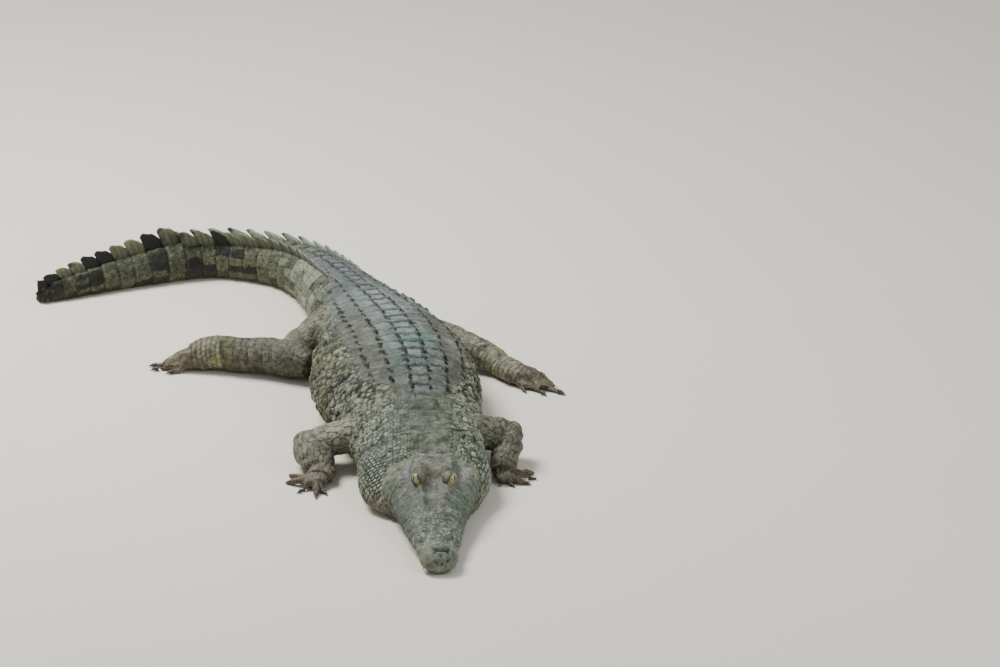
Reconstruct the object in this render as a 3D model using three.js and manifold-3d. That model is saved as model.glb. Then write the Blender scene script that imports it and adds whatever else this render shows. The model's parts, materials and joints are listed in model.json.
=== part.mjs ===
// An adult crocodile lying on a flat floor, head towards -Y, tail curled to its own right (-X).
// Lengths are in head lengths (snout tip to the back of the skull table) and are turned to
// millimetres where a point is made, so one dimension sizes the whole animal.

import * as THREE from 'three';
import Module from 'manifold-3d';
import { mergeVertices } from 'three/addons/utils/BufferGeometryUtils.js';

const wasm = await Module();
wasm.setup();

// Driving dimensions
const headLength = 500;
const gap = 0.3; // mm between neighbouring pieces
const millimetre = 1 / headLength;
const bodySides = 18;
const headSides = 22;
const limbMesh = { sides: 10, ringsPerStation: 2 };
const palmMesh = { sides: 10, ringsPerStation: 1 };
const toeMesh = { sides: 6, ringsPerStation: 1 };
const clawMesh = { sides: 4, ringsPerStation: 1 };
const toothSides = 4;

const skinColors = {
  head: 0x6f7867, jaw: 0x7b8271, body: 0x6b7663, tail: 0x666b4c, limb: 0x686a62, foot: 0x625c53,
};
const eyeColor = 0xb8ae4e;
const clawColor = 0x3a352e;

// ---------------------------------------------------------------- curves

// The columns of a table at t, on a smooth curve through its rows; column 0 is t.
function along(rows, t) {
  const last = rows.length - 1;
  const inside = Math.min(Math.max(t, rows[0][0]), rows[last][0]);
  let k = 0;
  while (k < last - 1 && rows[k + 1][0] < inside) k += 1;
  const span = rows[k + 1][0] - rows[k][0];
  const u = (inside - rows[k][0]) / span;
  const slope = (row, column) => {
    const before = rows[Math.max(row - 1, 0)];
    const after = rows[Math.min(row + 1, last)];
    return (after[column] - before[column]) / (after[0] - before[0]);
  };
  return rows[k].map((value, column) => {
    const next = rows[k + 1][column];
    const hermite = (2 * u ** 3 - 3 * u ** 2 + 1) * value + (3 * u ** 2 - 2 * u ** 3) * next;
    const bend = (u ** 3 - 2 * u ** 2 + u) * slope(k, column) + (u ** 3 - u ** 2) * slope(k + 1, column);
    return hermite + bend * span;
  });
}

const bump = (value, centre, width) => Math.exp(-(((value - centre) / width) ** 2));

function smoothStep(value, low, high) {
  const u = Math.min(Math.max((value - low) / (high - low), 0), 1);
  return u * u * (3 - 2 * u);
}

function spread(from, to, step) {
  const count = Math.max(1, Math.round((to - from) / step));
  return Array.from({ length: count + 1 }, (_, i) => from + ((to - from) * i) / count);
}

// ---------------------------------------------------------------- body axis and girth

// The backbone seen from above: x to the animal's left, y towards the tail, snout tip at zero
const spinePoints = [
  [0.002, 0.025], [-0.028, 0.5], [-0.045, 1], [-0.08, 1.35], [-0.12, 1.7], [-0.165, 2.1], [-0.23, 2.5],
  [-0.33, 2.88], [-0.45, 3.25], [-0.56, 3.57], [-0.655, 3.86], [-0.76, 4.13], [-0.865, 4.34],
  [-1.02, 4.52], [-1.235, 4.63], [-1.475, 4.68], [-1.705, 4.63], [-1.9, 4.545], [-2.088, 4.455],
  [-2.268, 4.36], [-2.445, 4.262], [-2.62, 4.175],
];
const spine = spinePoints.reduce((rows, [x, y]) => {
  const before = rows.at(-1);
  const t = before ? before[0] + Math.hypot(x - before[1], y - before[2]) : 0;
  return [...rows, [t, x, y]];
}, []);
const tailEnd = spine.at(-1)[0];

// Distance from the snout tip, half width on its right and left, height, and roundness of the back
const girth = [
  [0.66, 0.1, 0.1, 0.03, 2.2], [0.72, 0.21, 0.2, 0.09, 2.2], [0.8, 0.32, 0.28, 0.16, 2.2],
  [0.9, 0.41, 0.325, 0.23, 2.2], [1.04, 0.44, 0.34, 0.31, 2.2], [1.2, 0.43, 0.335, 0.37, 2.3],
  [1.4, 0.43, 0.34, 0.4, 2.3], [1.6, 0.46, 0.35, 0.425, 2.3], [1.85, 0.53, 0.37, 0.455, 2.3],
  [2.15, 0.585, 0.4, 0.485, 2.3], [2.5, 0.575, 0.41, 0.49, 2.3], [2.85, 0.5, 0.385, 0.475, 2.3],
  [3.15, 0.37, 0.36, 0.45, 2.2], [3.45, 0.3, 0.31, 0.42, 2.1], [3.75, 0.265, 0.265, 0.385, 2],
  [4.1, 0.22, 0.22, 0.34, 2], [4.5, 0.18, 0.18, 0.295, 2], [5, 0.14, 0.14, 0.255, 2],
  [5.5, 0.11, 0.11, 0.235, 2], [6, 0.08, 0.08, 0.18, 2], [6.25, 0.062, 0.062, 0.145, 2],
  [tailEnd, 0.045, 0.045, 0.1, 2],
];
const widestAt = 0.4; // height of the widest place, as a share of the height
const bellyDepth = 1.25; // how far the round section would reach below the floor that flattens it

// A point beside the backbone: distance from the snout, offset to the animal's left, height
function beside(t, offset, z) {
  const [, x, y] = along(spine, t);
  const [, aheadX, aheadY] = along(spine, t + 0.01);
  const [, behindX, behindY] = along(spine, t - 0.01);
  const heading = new THREE.Vector2(aheadX - behindX, aheadY - behindY).normalize();
  return new THREE.Vector3(x + heading.y * offset, y - heading.x * offset, z);
}

function bodySection(t, grow) {
  const [, right, left, height, roundness] = along(girth, t);
  const middle = height * widestAt;
  return Array.from({ length: bodySides }, (_, i) => {
    const angle = (2 * Math.PI * i) / bodySides;
    const c = Math.cos(angle);
    const s = Math.sin(angle);
    const width = (c < 0 ? right : left) + grow;
    const power = s < 0 ? 2.2 : roundness;
    const rise = s < 0 ? middle * bellyDepth : height - middle;
    const z = middle + Math.sign(s) * (rise + grow) * Math.abs(s) ** (2 / power);
    return beside(t, width * Math.sign(c) * Math.abs(c) ** (2 / power), grow > 0 ? z : Math.max(z, 0));
  });
}

// Height of the back at an offset from the middle
function backHeight(t, offset) {
  const [, right, left, height, roundness] = along(girth, t);
  const share = Math.min(Math.abs(offset) / (offset < 0 ? right : left), 1);
  const middle = height * widestAt;
  return middle + (height - middle) * (1 - share ** roundness) ** (1 / roundness);
}

// ---------------------------------------------------------------- solids

const sizeOf = (point) => [point.x * headLength, point.y * headLength, point.z * headLength];

// A closed skin over a row of rings with the same number of points
function loft(rings) {
  const sides = rings[0].length;
  const middleOf = (ring) => ring.reduce((sum, p) => sum.add(p), new THREE.Vector3()).divideScalar(sides);
  const points = [...rings.flat(), middleOf(rings[0]), middleOf(rings.at(-1))];
  const index = [];
  for (let r = 0; r < rings.length - 1; r += 1) {
    for (let i = 0; i < sides; i += 1) {
      const a = r * sides + i;
      const b = r * sides + ((i + 1) % sides);
      index.push(a, b, b + sides, a, b + sides, a + sides);
    }
  }
  const lastRing = (rings.length - 1) * sides;
  for (let i = 0; i < sides; i += 1) {
    const next = (i + 1) % sides;
    index.push(rings.length * sides, next, i);
    index.push(rings.length * sides + 1, lastRing + i, lastRing + next);
  }
  const geometry = new THREE.BufferGeometry();
  geometry.setAttribute('position', new THREE.Float32BufferAttribute(points.flatMap(sizeOf), 3));
  geometry.setIndex(index);
  return toSolid(geometry);
}

function toSolid(source) {
  const geometry = source.clone();
  geometry.deleteAttribute('normal');
  geometry.deleteAttribute('uv');
  const merged = mergeVertices(geometry, 1e-4);
  const vertProperties = merged.attributes.position.array;
  const triVerts = new Uint32Array(merged.index.array);
  const outward = new wasm.Manifold(new wasm.Mesh({ numProp: 3, vertProperties, triVerts }));
  if (outward.volume() > 0) return outward;
  for (let i = 0; i < triVerts.length; i += 3) {
    [triVerts[i + 1], triVerts[i + 2]] = [triVerts[i + 2], triVerts[i + 1]];
  }
  return new wasm.Manifold(new wasm.Mesh({ numProp: 3, vertProperties, triVerts }));
}

const joined = (solids) => solids.reduce((whole, solid) => whole.add(solid));
const cutBy = (solid, tools) => tools.reduce((rest, tool) => rest.subtract(tool), solid);

// The largest loose piece of a solid, so that a cut leaves no crumbs
function largest(solid) {
  return solid.decompose().reduce((best, piece) => (piece.volume() > best.volume() ? piece : best));
}

function toGeometry(solid) {
  const { vertProperties, triVerts } = solid.getMesh();
  const geometry = new THREE.BufferGeometry();
  geometry.setAttribute('position', new THREE.Float32BufferAttribute(vertProperties, 3));
  geometry.setIndex(new THREE.Uint32BufferAttribute(triVerts, 1));
  geometry.computeVertexNormals();
  return geometry;
}

function piece(name, solid, color, roughness = 0.75) {
  const mesh = new THREE.Mesh(toGeometry(largest(solid)), new THREE.MeshStandardMaterial({ color, roughness }));
  mesh.name = name;
  return mesh;
}

// ---------------------------------------------------------------- head

// Distance from the snout tip, half width of the upper jaw, height of the mouth line, height of the crown
const skull = [
  [0, 0.055, 0.03, 0.075], [0.012, 0.075, 0.034, 0.1], [0.04, 0.092, 0.042, 0.118], [0.08, 0.1, 0.05, 0.128],
  [0.12, 0.098, 0.06, 0.13], [0.15, 0.094, 0.068, 0.13], [0.2, 0.108, 0.06, 0.135], [0.28, 0.132, 0.052, 0.148],
  [0.36, 0.145, 0.06, 0.16], [0.46, 0.167, 0.078, 0.18], [0.56, 0.19, 0.086, 0.215], [0.66, 0.213, 0.08, 0.245],
  [0.76, 0.232, 0.09, 0.265], [0.86, 0.254, 0.11, 0.278], [0.95, 0.268, 0.12, 0.282], [1.02, 0.26, 0.125, 0.275],
];
const nostrils = { at: 0.095, rise: 0.022, length: 0.05, width: 0.055 };
const brow = { at: 0.735, offset: 0.09, rise: 0.07, length: 0.07, width: 0.045 };
const skullTable = { front: 0.76, halfWidth: 0.105, rise: 0.042, edge: 0.03 };
const eye = { at: 0.725, offset: 0.1, height: 0.288, radius: 0.04 };
const jawInset = 0.022;
const chinRise = 0.45; // share of the jaw's height by which its tip rises off the floor
const skullStations = [
  0, 0.015, 0.045, 0.085, 0.12, 0.15, 0.2, 0.28, 0.37, 0.47, 0.56, 0.63, 0.68, 0.715, 0.75, 0.79, 0.84, 0.92, 1.02,
];

function crownHeight(t, offset) {
  const [, width, mouth, height] = along(skull, t);
  const share = Math.min(Math.abs(offset) / width, 1);
  const dome = mouth + (height - mouth) * (1 - share ** 2.5) ** (1 / 2.2);
  const nose = nostrils.rise * bump(t, nostrils.at, nostrils.length) * bump(offset, 0, nostrils.width);
  const brows = brow.rise * bump(t, brow.at, brow.length) * bump(Math.abs(offset), brow.offset, brow.width);
  const onTable = 1 - smoothStep(Math.abs(offset), skullTable.halfWidth, skullTable.halfWidth + skullTable.edge);
  const table = skullTable.rise * smoothStep(t, skullTable.front, skullTable.front + 0.08) * onTable;
  return dome + nose + brows + table;
}

function skullSection(t, grow) {
  const [, width, mouth] = along(skull, t);
  const crownPoints = headSides - 6;
  const crown = Array.from({ length: crownPoints + 1 }, (_, i) => {
    const offset = width * Math.cos((Math.PI * i) / crownPoints);
    const atLip = i === 0 || i === crownPoints;
    return beside(t, offset * (1 + grow / width), atLip ? mouth - grow : crownHeight(t, offset) + grow);
  });
  const palate = [-0.66, -0.33, 0, 0.33, 0.66].map((share) => beside(t, width * share, mouth - grow));
  return [...crown, ...palate];
}

function jawSection(t, grow) {
  const [, width, mouth] = along(skull, t);
  const half = width - jawInset + grow;
  const top = mouth - gap * millimetre + grow;
  const chin = chinRise * (1 - smoothStep(t, 0, 0.08));
  const profile = [[1, 1], [1, 0.62], [0.93, 0.28], [0.78, 0], [0.4, 0], [0, 0]];
  const right = profile.map(([share, rise]) => beside(t, half * share, top * (chin + (1 - chin) * rise)));
  const left = profile.slice(0, -1).reverse().map(([share, rise]) => beside(t, -half * share, top * (chin + (1 - chin) * rise)));
  const tongueSide = [-0.5, 0, 0.5].map((share) => beside(t, half * share, top));
  return [...right, ...left, ...tongueSide];
}

const upperTeeth = { first: 0.03, last: 0.6, spacing: 0.057, radius: 0.0085, drop: 0.03 };

// Teeth of the upper jaw stand outside the closed lower jaw
function tooth(t, side) {
  const [, width, mouth] = along(skull, t);
  const big = 1 + 0.5 * bump(t, 0.3, 0.05) + 0.3 * bump(t, 0.06, 0.03);
  const rings = [[0.02, 1], [-upperTeeth.drop * big, 0.3]].map(([rise, scale]) => {
    const centre = beside(t, side * (width - upperTeeth.radius * 1.35), mouth + rise);
    const radius = upperTeeth.radius * scale;
    return Array.from({ length: toothSides }, (_, i) => {
      const angle = (2 * Math.PI * i) / toothSides;
      return new THREE.Vector3(centre.x + radius * Math.cos(angle), centre.y + radius * Math.sin(angle), centre.z);
    });
  });
  return loft(rings);
}

function makeHead() {
  const stations = (grow) => [...skullStations.slice(0, -1), skullStations.at(-1) + grow];
  const upper = (grow) => loft(stations(grow).map((t) => skullSection(t, grow)));
  const lower = (grow) => loft(stations(grow).map((t) => jawSection(t, grow)));
  const teeth = spread(upperTeeth.first, upperTeeth.last, upperTeeth.spacing)
    .flatMap((t) => [-1, 1].map((side) => tooth(t, side)));
  const eyeBall = (grow) => new THREE.SphereGeometry(eye.radius * headLength + grow, 10, 7);
  const eyePlace = (side) => beside(eye.at, side * eye.offset, eye.height).multiplyScalar(headLength);
  const sockets = [-1, 1].map((side) => {
    const { x, y, z } = eyePlace(side);
    return toSolid(eyeBall(gap).translate(x, y, z));
  });
  const eyes = [[-1, 'eye_right'], [1, 'eye_left']].map(([side, name]) => {
    const mesh = piece(name, toSolid(eyeBall(0)), eyeColor, 0.15);
    mesh.position.copy(eyePlace(side));
    return mesh;
  });
  const meshes = [
    piece('head', cutBy(joined([upper(0), ...teeth]), sockets), skinColors.head),
    piece('lower_jaw', lower(0), skinColors.jaw),
    ...eyes,
  ];
  return { meshes, space: [upper(gap * millimetre), lower(gap * millimetre)] };
}

// ---------------------------------------------------------------- neck, trunk and tail

const cuts = { neck: 0.66, shoulders: 1.62, waist: 2.72, tailBase: 3.6 };
const whorl = { first: 3.6, doubleCount: 16, doubleSpacing: 0.1135, singleSpacing: 0.124, shrink: 0.955 };

// Where each ring of tail scutes starts
const whorls = (() => {
  const starts = [whorl.first];
  let single = whorl.singleSpacing;
  while (starts.at(-1) < tailEnd - single) {
    const inDoublePart = starts.length <= whorl.doubleCount;
    starts.push(starts.at(-1) + (inDoublePart ? whorl.doubleSpacing : single));
    if (!inDoublePart) single *= whorl.shrink;
  }
  return starts;
})();

const ringStep = 0.12;

// A length of the body; grown, it is the space that the length and the gap round it take up
function lengthOfBody(from, to, grow = 0) {
  const inset = grow > 0 ? 0 : (gap / 2) * millimetre;
  return loft(spread(from + inset, to - inset, ringStep).map((t) => bodySection(t, grow)));
}

// One upright scute: a thin fin that leans back and is rooted in the tail
function fin(start, end, offset, height) {
  const side = Math.sign(offset);
  const length = end - start;
  const levels = [[-0.25, 0.05, 0.93, 1], [1, 0.6, 0.97, 0.3]];
  const rings = levels.map(([rise, front, back, thickness]) => {
    const half = 0.011 * thickness;
    const corner = (share, across) => {
      const t = start + length * share;
      const root = backHeight(t, offset) - 0.012;
      return beside(t, offset + side * Math.max(rise, 0) * height * 0.35 + across * half, root + rise * height);
    };
    return [corner(front, -1), corner(back, -1), corner(back, 1), corner(front, 1)];
  });
  return loft(rings);
}

function crestHeight(index) {
  if (index < whorl.doubleCount) return 0.03 + 0.07 * (index / whorl.doubleCount) ** 1.3;
  const share = (index - whorl.doubleCount) / (whorls.length - whorl.doubleCount);
  return 0.155 - 0.095 * share;
}

function crest(index) {
  const start = whorls[index];
  const end = whorls[index + 1] ?? tailEnd;
  if (index >= whorl.doubleCount) return [fin(start, end, 0, crestHeight(index))];
  const apart = 0.115 - 0.075 * (index / whorl.doubleCount) ** 1.5;
  return [-1, 1].map((side) => fin(start, end, side * apart, crestHeight(index)));
}

const tailPieces = 5;
const firstCrest = 3;

function makeTail() {
  const perPiece = Math.ceil(whorls.length / tailPieces);
  return Array.from({ length: tailPieces }, (_, p) => {
    const from = p * perPiece;
    const to = Math.min(from + perPiece, whorls.length);
    const end = p === tailPieces - 1 ? tailEnd : whorls[to];
    const crests = Array.from({ length: to - from }, (_unused, i) => from + i)
      .filter((index) => index >= firstCrest)
      .flatMap(crest);
    const flesh = lengthOfBody(whorls[from], end);
    return piece(`tail_${p + 1}`, joined([flesh, ...crests]), skinColors.tail);
  });
}

function makeBody(headSpace) {
  const neck = lengthOfBody(cuts.neck, cuts.shoulders);
  return [
    piece('neck', cutBy(neck, headSpace), skinColors.body),
    piece('trunk_front', lengthOfBody(cuts.shoulders, cuts.waist), skinColors.body),
    piece('trunk_rear', lengthOfBody(cuts.waist, cuts.tailBase), skinColors.body),
    ...makeTail(),
  ];
}

// ---------------------------------------------------------------- limbs

// A round limb along a row of stations: x, y, z, half width, half height
function limb(stations, { sides, ringsPerStation }, grow = 0) {
  const rows = stations.reduce((list, station) => {
    const before = list.at(-1);
    const step = before ? Math.hypot(station[0] - before[1], station[1] - before[2], station[2] - before[3]) : 0;
    return [...list, [(before ? before[0] : 0) + step, ...station]];
  }, []);
  const length = rows.at(-1)[0];
  const place = (t) => new THREE.Vector3(...along(rows, t).slice(1, 4));
  const rings = spread(0, length, length / (ringsPerStation * (stations.length - 1))).map((t) => {
    const [, , , , halfWidth, halfHeight] = along(rows, t);
    const ahead = place(t + length * 0.02).sub(place(t - length * 0.02)).normalize();
    const across = new THREE.Vector3(-ahead.y, ahead.x, 0).normalize();
    const up = new THREE.Vector3().crossVectors(ahead, across);
    const outwards = t === 0 ? -grow : t === length ? grow : 0;
    return Array.from({ length: sides }, (_, i) => {
      const angle = (2 * Math.PI * (i + 0.5)) / sides;
      const point = place(t)
        .addScaledVector(ahead, outwards)
        .addScaledVector(across, (halfWidth + grow) * Math.cos(angle))
        .addScaledVector(up, (halfHeight + grow) * Math.sin(angle));
      if (grow === 0) point.z = Math.max(point.z, 0);
      return point;
    });
  });
  return loft(rings);
}

// Limb stations, from inside the body outwards
const forelimbs = {
  right: {
    upper: [[-0.22, 1.6, 0.23, 0.13, 0.12], [-0.45, 1.6, 0.22, 0.12, 0.11], [-0.64, 1.58, 0.175, 0.105, 0.1],
      [-0.77, 1.56, 0.14, 0.095, 0.09], [-0.83, 1.55, 0.125, 0.06, 0.06]],
    lower: [[-0.8, 1.66, 0.12, 0.07, 0.075], [-0.785, 1.57, 0.13, 0.105, 0.105], [-0.75, 1.46, 0.115, 0.11, 0.095],
      [-0.715, 1.36, 0.075, 0.09, 0.062], [-0.72, 1.3, 0.055, 0.08, 0.048]],
    palm: [[-0.726, 1.325, 0.052, 0.072, 0.045], [-0.745, 1.27, 0.04, 0.085, 0.038], [-0.765, 1.215, 0.03, 0.07, 0.028]],
    toes: [[-0.664, 1.129], [-0.733, 1.079], [-0.853, 1.158], [-0.93, 1.31], [-0.91, 1.419]],
  },
  left: {
    upper: [[0.0, 1.55, 0.24, 0.13, 0.12], [0.16, 1.56, 0.235, 0.12, 0.11], [0.29, 1.6, 0.2, 0.105, 0.1],
      [0.4, 1.65, 0.165, 0.085, 0.085], [0.45, 1.68, 0.15, 0.05, 0.05]],
    lower: [[0.44, 1.73, 0.15, 0.05, 0.065], [0.415, 1.65, 0.155, 0.075, 0.095], [0.39, 1.53, 0.125, 0.085, 0.09],
      [0.365, 1.42, 0.085, 0.08, 0.065], [0.36, 1.36, 0.06, 0.075, 0.05]],
    palm: [[0.362, 1.375, 0.055, 0.07, 0.045], [0.38, 1.34, 0.042, 0.085, 0.038], [0.405, 1.31, 0.03, 0.06, 0.028]],
    toes: [[0.34, 1.255], [0.44, 1.245], [0.54, 1.285], [0.58, 1.37], [0.565, 1.46]],
  },
};
const hindlimbs = {
  right: {
    upper: [[-0.42, 3.5, 0.24, 0.15, 0.15], [-0.6, 3.35, 0.23, 0.152, 0.15], [-0.775, 3.15, 0.19, 0.138, 0.14],
      [-0.9, 3, 0.15, 0.118, 0.125], [-0.925, 2.91, 0.12, 0.08, 0.092]],
    lower: [[-0.82, 2.85, 0.11, 0.085, 0.09], [-0.9, 2.91, 0.125, 0.11, 0.115], [-1.06, 2.97, 0.12, 0.105, 0.11],
      [-1.22, 3.02, 0.11, 0.09, 0.1], [-1.36, 3.05, 0.105, 0.085, 0.098]],
    palm: [[-1.36, 3.05, 0.11, 0.085, 0.105], [-1.46, 3.075, 0.1, 0.09, 0.092], [-1.58, 3.085, 0.062, 0.085, 0.058]],
    toes: [[-1.733, 2.974], [-1.831, 3.035], [-1.846, 3.1], [-1.743, 3.16]],
  },
  left: {
    upper: [[-0.5, 3.38, 0.2, 0.14, 0.14], [-0.32, 3.36, 0.18, 0.135, 0.135], [-0.14, 3.31, 0.158, 0.115, 0.112],
      [0.0, 3.25, 0.14, 0.1, 0.1], [0.06, 3.21, 0.13, 0.07, 0.075]],
    lower: [[-0.05, 3.3, 0.14, 0.08, 0.085], [0.03, 3.22, 0.145, 0.1, 0.1], [0.16, 3.1, 0.13, 0.1, 0.095],
      [0.29, 3.01, 0.1, 0.08, 0.08], [0.36, 2.95, 0.085, 0.072, 0.072]],
    palm: [[0.35, 2.96, 0.08, 0.075, 0.07], [0.42, 2.89, 0.06, 0.085, 0.055], [0.51, 2.81, 0.04, 0.08, 0.038]],
    toes: [[0.51, 2.672], [0.639, 2.625], [0.756, 2.641], [0.72, 2.75]],
  },
};

const handToe = { rootWidth: 0.03, tipWidth: 0.017, claw: 0.045, clawed: 3 };
const footToe = { rootWidth: 0.034, tipWidth: 0.018, claw: 0.055, clawed: 3 };

// A toe from the palm out to its tip, and the claw beyond it
function toeStations(palm, tip, toe) {
  const [rootX, rootY, rootZ] = palm[1];
  const reach = Math.hypot(tip[0] - rootX, tip[1] - rootY);
  const flesh = (reach - toe.claw) / reach;
  const station = (share, z, half, flat) =>
    [rootX + (tip[0] - rootX) * share, rootY + (tip[1] - rootY) * share, z, half, half * flat];
  return {
    flesh: [station(0.12, rootZ, toe.rootWidth, 0.9), station(flesh * 0.55, rootZ * 0.8, toe.rootWidth * 0.9, 0.95),
      station(flesh * 0.85, toe.tipWidth * 1.1, toe.tipWidth * 1.15, 1), station(flesh, toe.tipWidth, toe.tipWidth, 0.9)],
    claw: [station(flesh + (gap * millimetre) / reach, toe.tipWidth, toe.tipWidth * 0.62, 0.9),
      station(flesh + (1 - flesh) * 0.5, toe.tipWidth * 0.85, toe.tipWidth * 0.42, 1),
      station(1, toe.tipWidth * 0.3, toe.tipWidth * 0.1, 1)],
  };
}

function makeLimb(sideName, names, parts, toe, bodySpace) {
  const grow = gap * millimetre;
  const lowerSpace = limb(parts.lower, limbMesh, grow);
  const palmSpace = limb(parts.palm, palmMesh, grow);
  const toes = parts.toes.map((tip) => toeStations(parts.palm, tip, toe));
  const hand = joined([limb(parts.palm, palmMesh), ...toes.map(({ flesh }) => limb(flesh, toeMesh))]);
  const handSpace = joined([palmSpace, ...toes.map(({ flesh }) => limb(flesh, toeMesh, grow))]);
  const color = skinColors.limb;
  return [
    piece(`${names[0]}_${sideName}`, cutBy(limb(parts.upper, limbMesh), [...bodySpace, lowerSpace]), color),
    piece(`${names[1]}_${sideName}`, cutBy(limb(parts.lower, limbMesh), [...bodySpace, handSpace]), color),
    piece(`${names[2]}_${sideName}`, cutBy(hand, bodySpace), skinColors.foot),
    ...toes.slice(0, toe.clawed).map(({ claw }, i) =>
      piece(`claw_${names[2]}_${sideName}_${i + 1}`, cutBy(limb(claw, clawMesh), [handSpace]), clawColor, 0.4)),
  ];
}

// ---------------------------------------------------------------- the animal

const restPoint = 2.3; // the origin lies under the belly, at this distance from the snout tip
const head = makeHead();
const bodyCuts = [cuts.neck, cuts.shoulders, cuts.waist, cuts.tailBase, whorls[Math.ceil(whorls.length / tailPieces)]];
const bodySpace = bodyCuts.slice(1).map((to, i) => lengthOfBody(bodyCuts[i], to, gap * millimetre));
const meshes = [...head.meshes, ...makeBody(head.space)];
for (const side of ['right', 'left']) {
  meshes.push(...makeLimb(side, ['upper_arm', 'forearm', 'hand'], forelimbs[side], handToe, bodySpace));
  meshes.push(...makeLimb(side, ['thigh', 'shank', 'foot'], hindlimbs[side], footToe, bodySpace));
}

const animal = new THREE.Group();
animal.add(...meshes);
const origin = beside(restPoint, 0, 0).multiplyScalar(headLength);
animal.position.set(-origin.x, -origin.y, 0);

export default animal;
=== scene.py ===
import json
import math
import bpy
import numpy as np
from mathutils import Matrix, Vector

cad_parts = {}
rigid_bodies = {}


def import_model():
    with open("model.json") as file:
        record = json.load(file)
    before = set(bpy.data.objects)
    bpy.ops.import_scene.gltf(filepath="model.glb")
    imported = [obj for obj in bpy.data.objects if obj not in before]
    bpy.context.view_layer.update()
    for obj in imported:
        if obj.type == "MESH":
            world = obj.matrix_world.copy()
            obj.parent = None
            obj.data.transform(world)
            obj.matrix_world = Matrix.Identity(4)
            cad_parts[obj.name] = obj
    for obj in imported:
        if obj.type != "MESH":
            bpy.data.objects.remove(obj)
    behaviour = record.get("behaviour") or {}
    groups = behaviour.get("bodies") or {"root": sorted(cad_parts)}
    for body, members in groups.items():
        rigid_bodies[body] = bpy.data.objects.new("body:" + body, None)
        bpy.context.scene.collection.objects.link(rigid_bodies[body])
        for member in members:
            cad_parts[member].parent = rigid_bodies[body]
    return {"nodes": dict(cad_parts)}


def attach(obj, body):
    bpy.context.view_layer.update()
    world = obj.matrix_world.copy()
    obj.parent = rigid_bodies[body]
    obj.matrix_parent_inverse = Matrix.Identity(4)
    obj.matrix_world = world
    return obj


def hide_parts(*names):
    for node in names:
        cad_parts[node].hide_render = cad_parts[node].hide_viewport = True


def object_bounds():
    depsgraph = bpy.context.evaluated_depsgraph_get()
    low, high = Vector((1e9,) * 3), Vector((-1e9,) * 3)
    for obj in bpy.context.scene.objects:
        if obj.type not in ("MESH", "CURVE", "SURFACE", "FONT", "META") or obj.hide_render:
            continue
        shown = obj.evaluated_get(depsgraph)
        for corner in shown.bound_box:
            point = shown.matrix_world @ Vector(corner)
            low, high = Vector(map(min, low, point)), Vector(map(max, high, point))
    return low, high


# A life-size crocodile, lying on its belly with its tail curled to its right.
# Body tables are in head lengths (snout tip to the back of the skull table), measured from the snout tip,
# and every mesh is turned to metres in the frame's own axes at the end.

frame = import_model()
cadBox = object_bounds()

headLength = 0.5
millimetre = 0.001 / headLength
restPoint = 2.3
rng = np.random.default_rng(11)


# curves and small helpers

def smoothRows(rows, at):
    # the columns of a table, on a smooth curve through its rows; column 0 is where each row lies
    rows = np.asarray(rows, float)
    place = rows[:, 0]
    slope = np.empty_like(rows)
    slope[1:-1] = (rows[2:] - rows[:-2]) / (place[2:] - place[:-2])[:, None]
    slope[0] = (rows[1] - rows[0]) / (place[1] - place[0])
    slope[-1] = (rows[-1] - rows[-2]) / (place[-1] - place[-2])
    at = np.clip(np.atleast_1d(at), place[0], place[-1])
    k = np.clip(np.searchsorted(place, at, side="right") - 1, 0, len(place) - 2)
    span = (place[k + 1] - place[k])[:, None]
    u = (at - place[k])[:, None] / span
    ends = (2 * u**3 - 3 * u**2 + 1) * rows[k] + (3 * u**2 - 2 * u**3) * rows[k + 1]
    return ends + ((u**3 - 2 * u**2 + u) * slope[k] + (u**3 - u**2) * slope[k + 1]) * span


def bump(value, centre, width):
    return np.exp(-(((value - centre) / width) ** 2))


def smoothStep(value, low, high):
    u = np.clip((value - low) / (high - low), 0, 1)
    return u * u * (3 - 2 * u)


def fade(value, low, high):
    return 1 - smoothStep(value, low, high)


def between(value, low, risen, falling, high):
    # 1 from risen to falling, 0 below low and above high
    return smoothStep(value, low, risen) * fade(value, falling, high)


def blend(a, b, weight):
    weight = np.asarray(weight)
    if np.ndim(a) == 2 or np.ndim(b) == 2 or np.ndim(a) == 1 and len(a) == 3 and weight.ndim == 1:
        weight = weight[..., None]
    return a * (1 - weight) + b * weight


def unit(vectors):
    return vectors / (np.linalg.norm(vectors, axis=-1, keepdims=True) + 1e-12)


def linear(hexColor):
    # an sRGB hex value such as "7d8f8c" as linear red, green and blue
    srgb = np.array([int(hexColor[i:i + 2], 16) / 255 for i in (0, 2, 4)])
    return np.where(srgb <= 0.04045, srgb / 12.92, ((srgb + 0.055) / 1.055) ** 2.4)


# body tables: backbone, girth and skull

spinePoints = [
    (0.008, 0.025), (-0.028, 0.5), (-0.039, 1), (-0.08, 1.35), (-0.12, 1.7), (-0.165, 2.1), (-0.23, 2.5),
    (-0.33, 2.88), (-0.45, 3.25), (-0.56, 3.57), (-0.655, 3.86), (-0.76, 4.13), (-0.865, 4.34),
    (-1.02, 4.52), (-1.235, 4.63), (-1.475, 4.68), (-1.705, 4.63), (-1.9, 4.545), (-2.088, 4.455),
    (-2.268, 4.36), (-2.445, 4.262), (-2.62, 4.175),
]
steps = [math.dist(a, b) for a, b in zip(spinePoints, spinePoints[1:])]
spineRows = [(t, x, y) for t, (x, y) in zip(np.cumsum([0] + steps), spinePoints)]
tailEnd = spineRows[-1][0]

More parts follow.
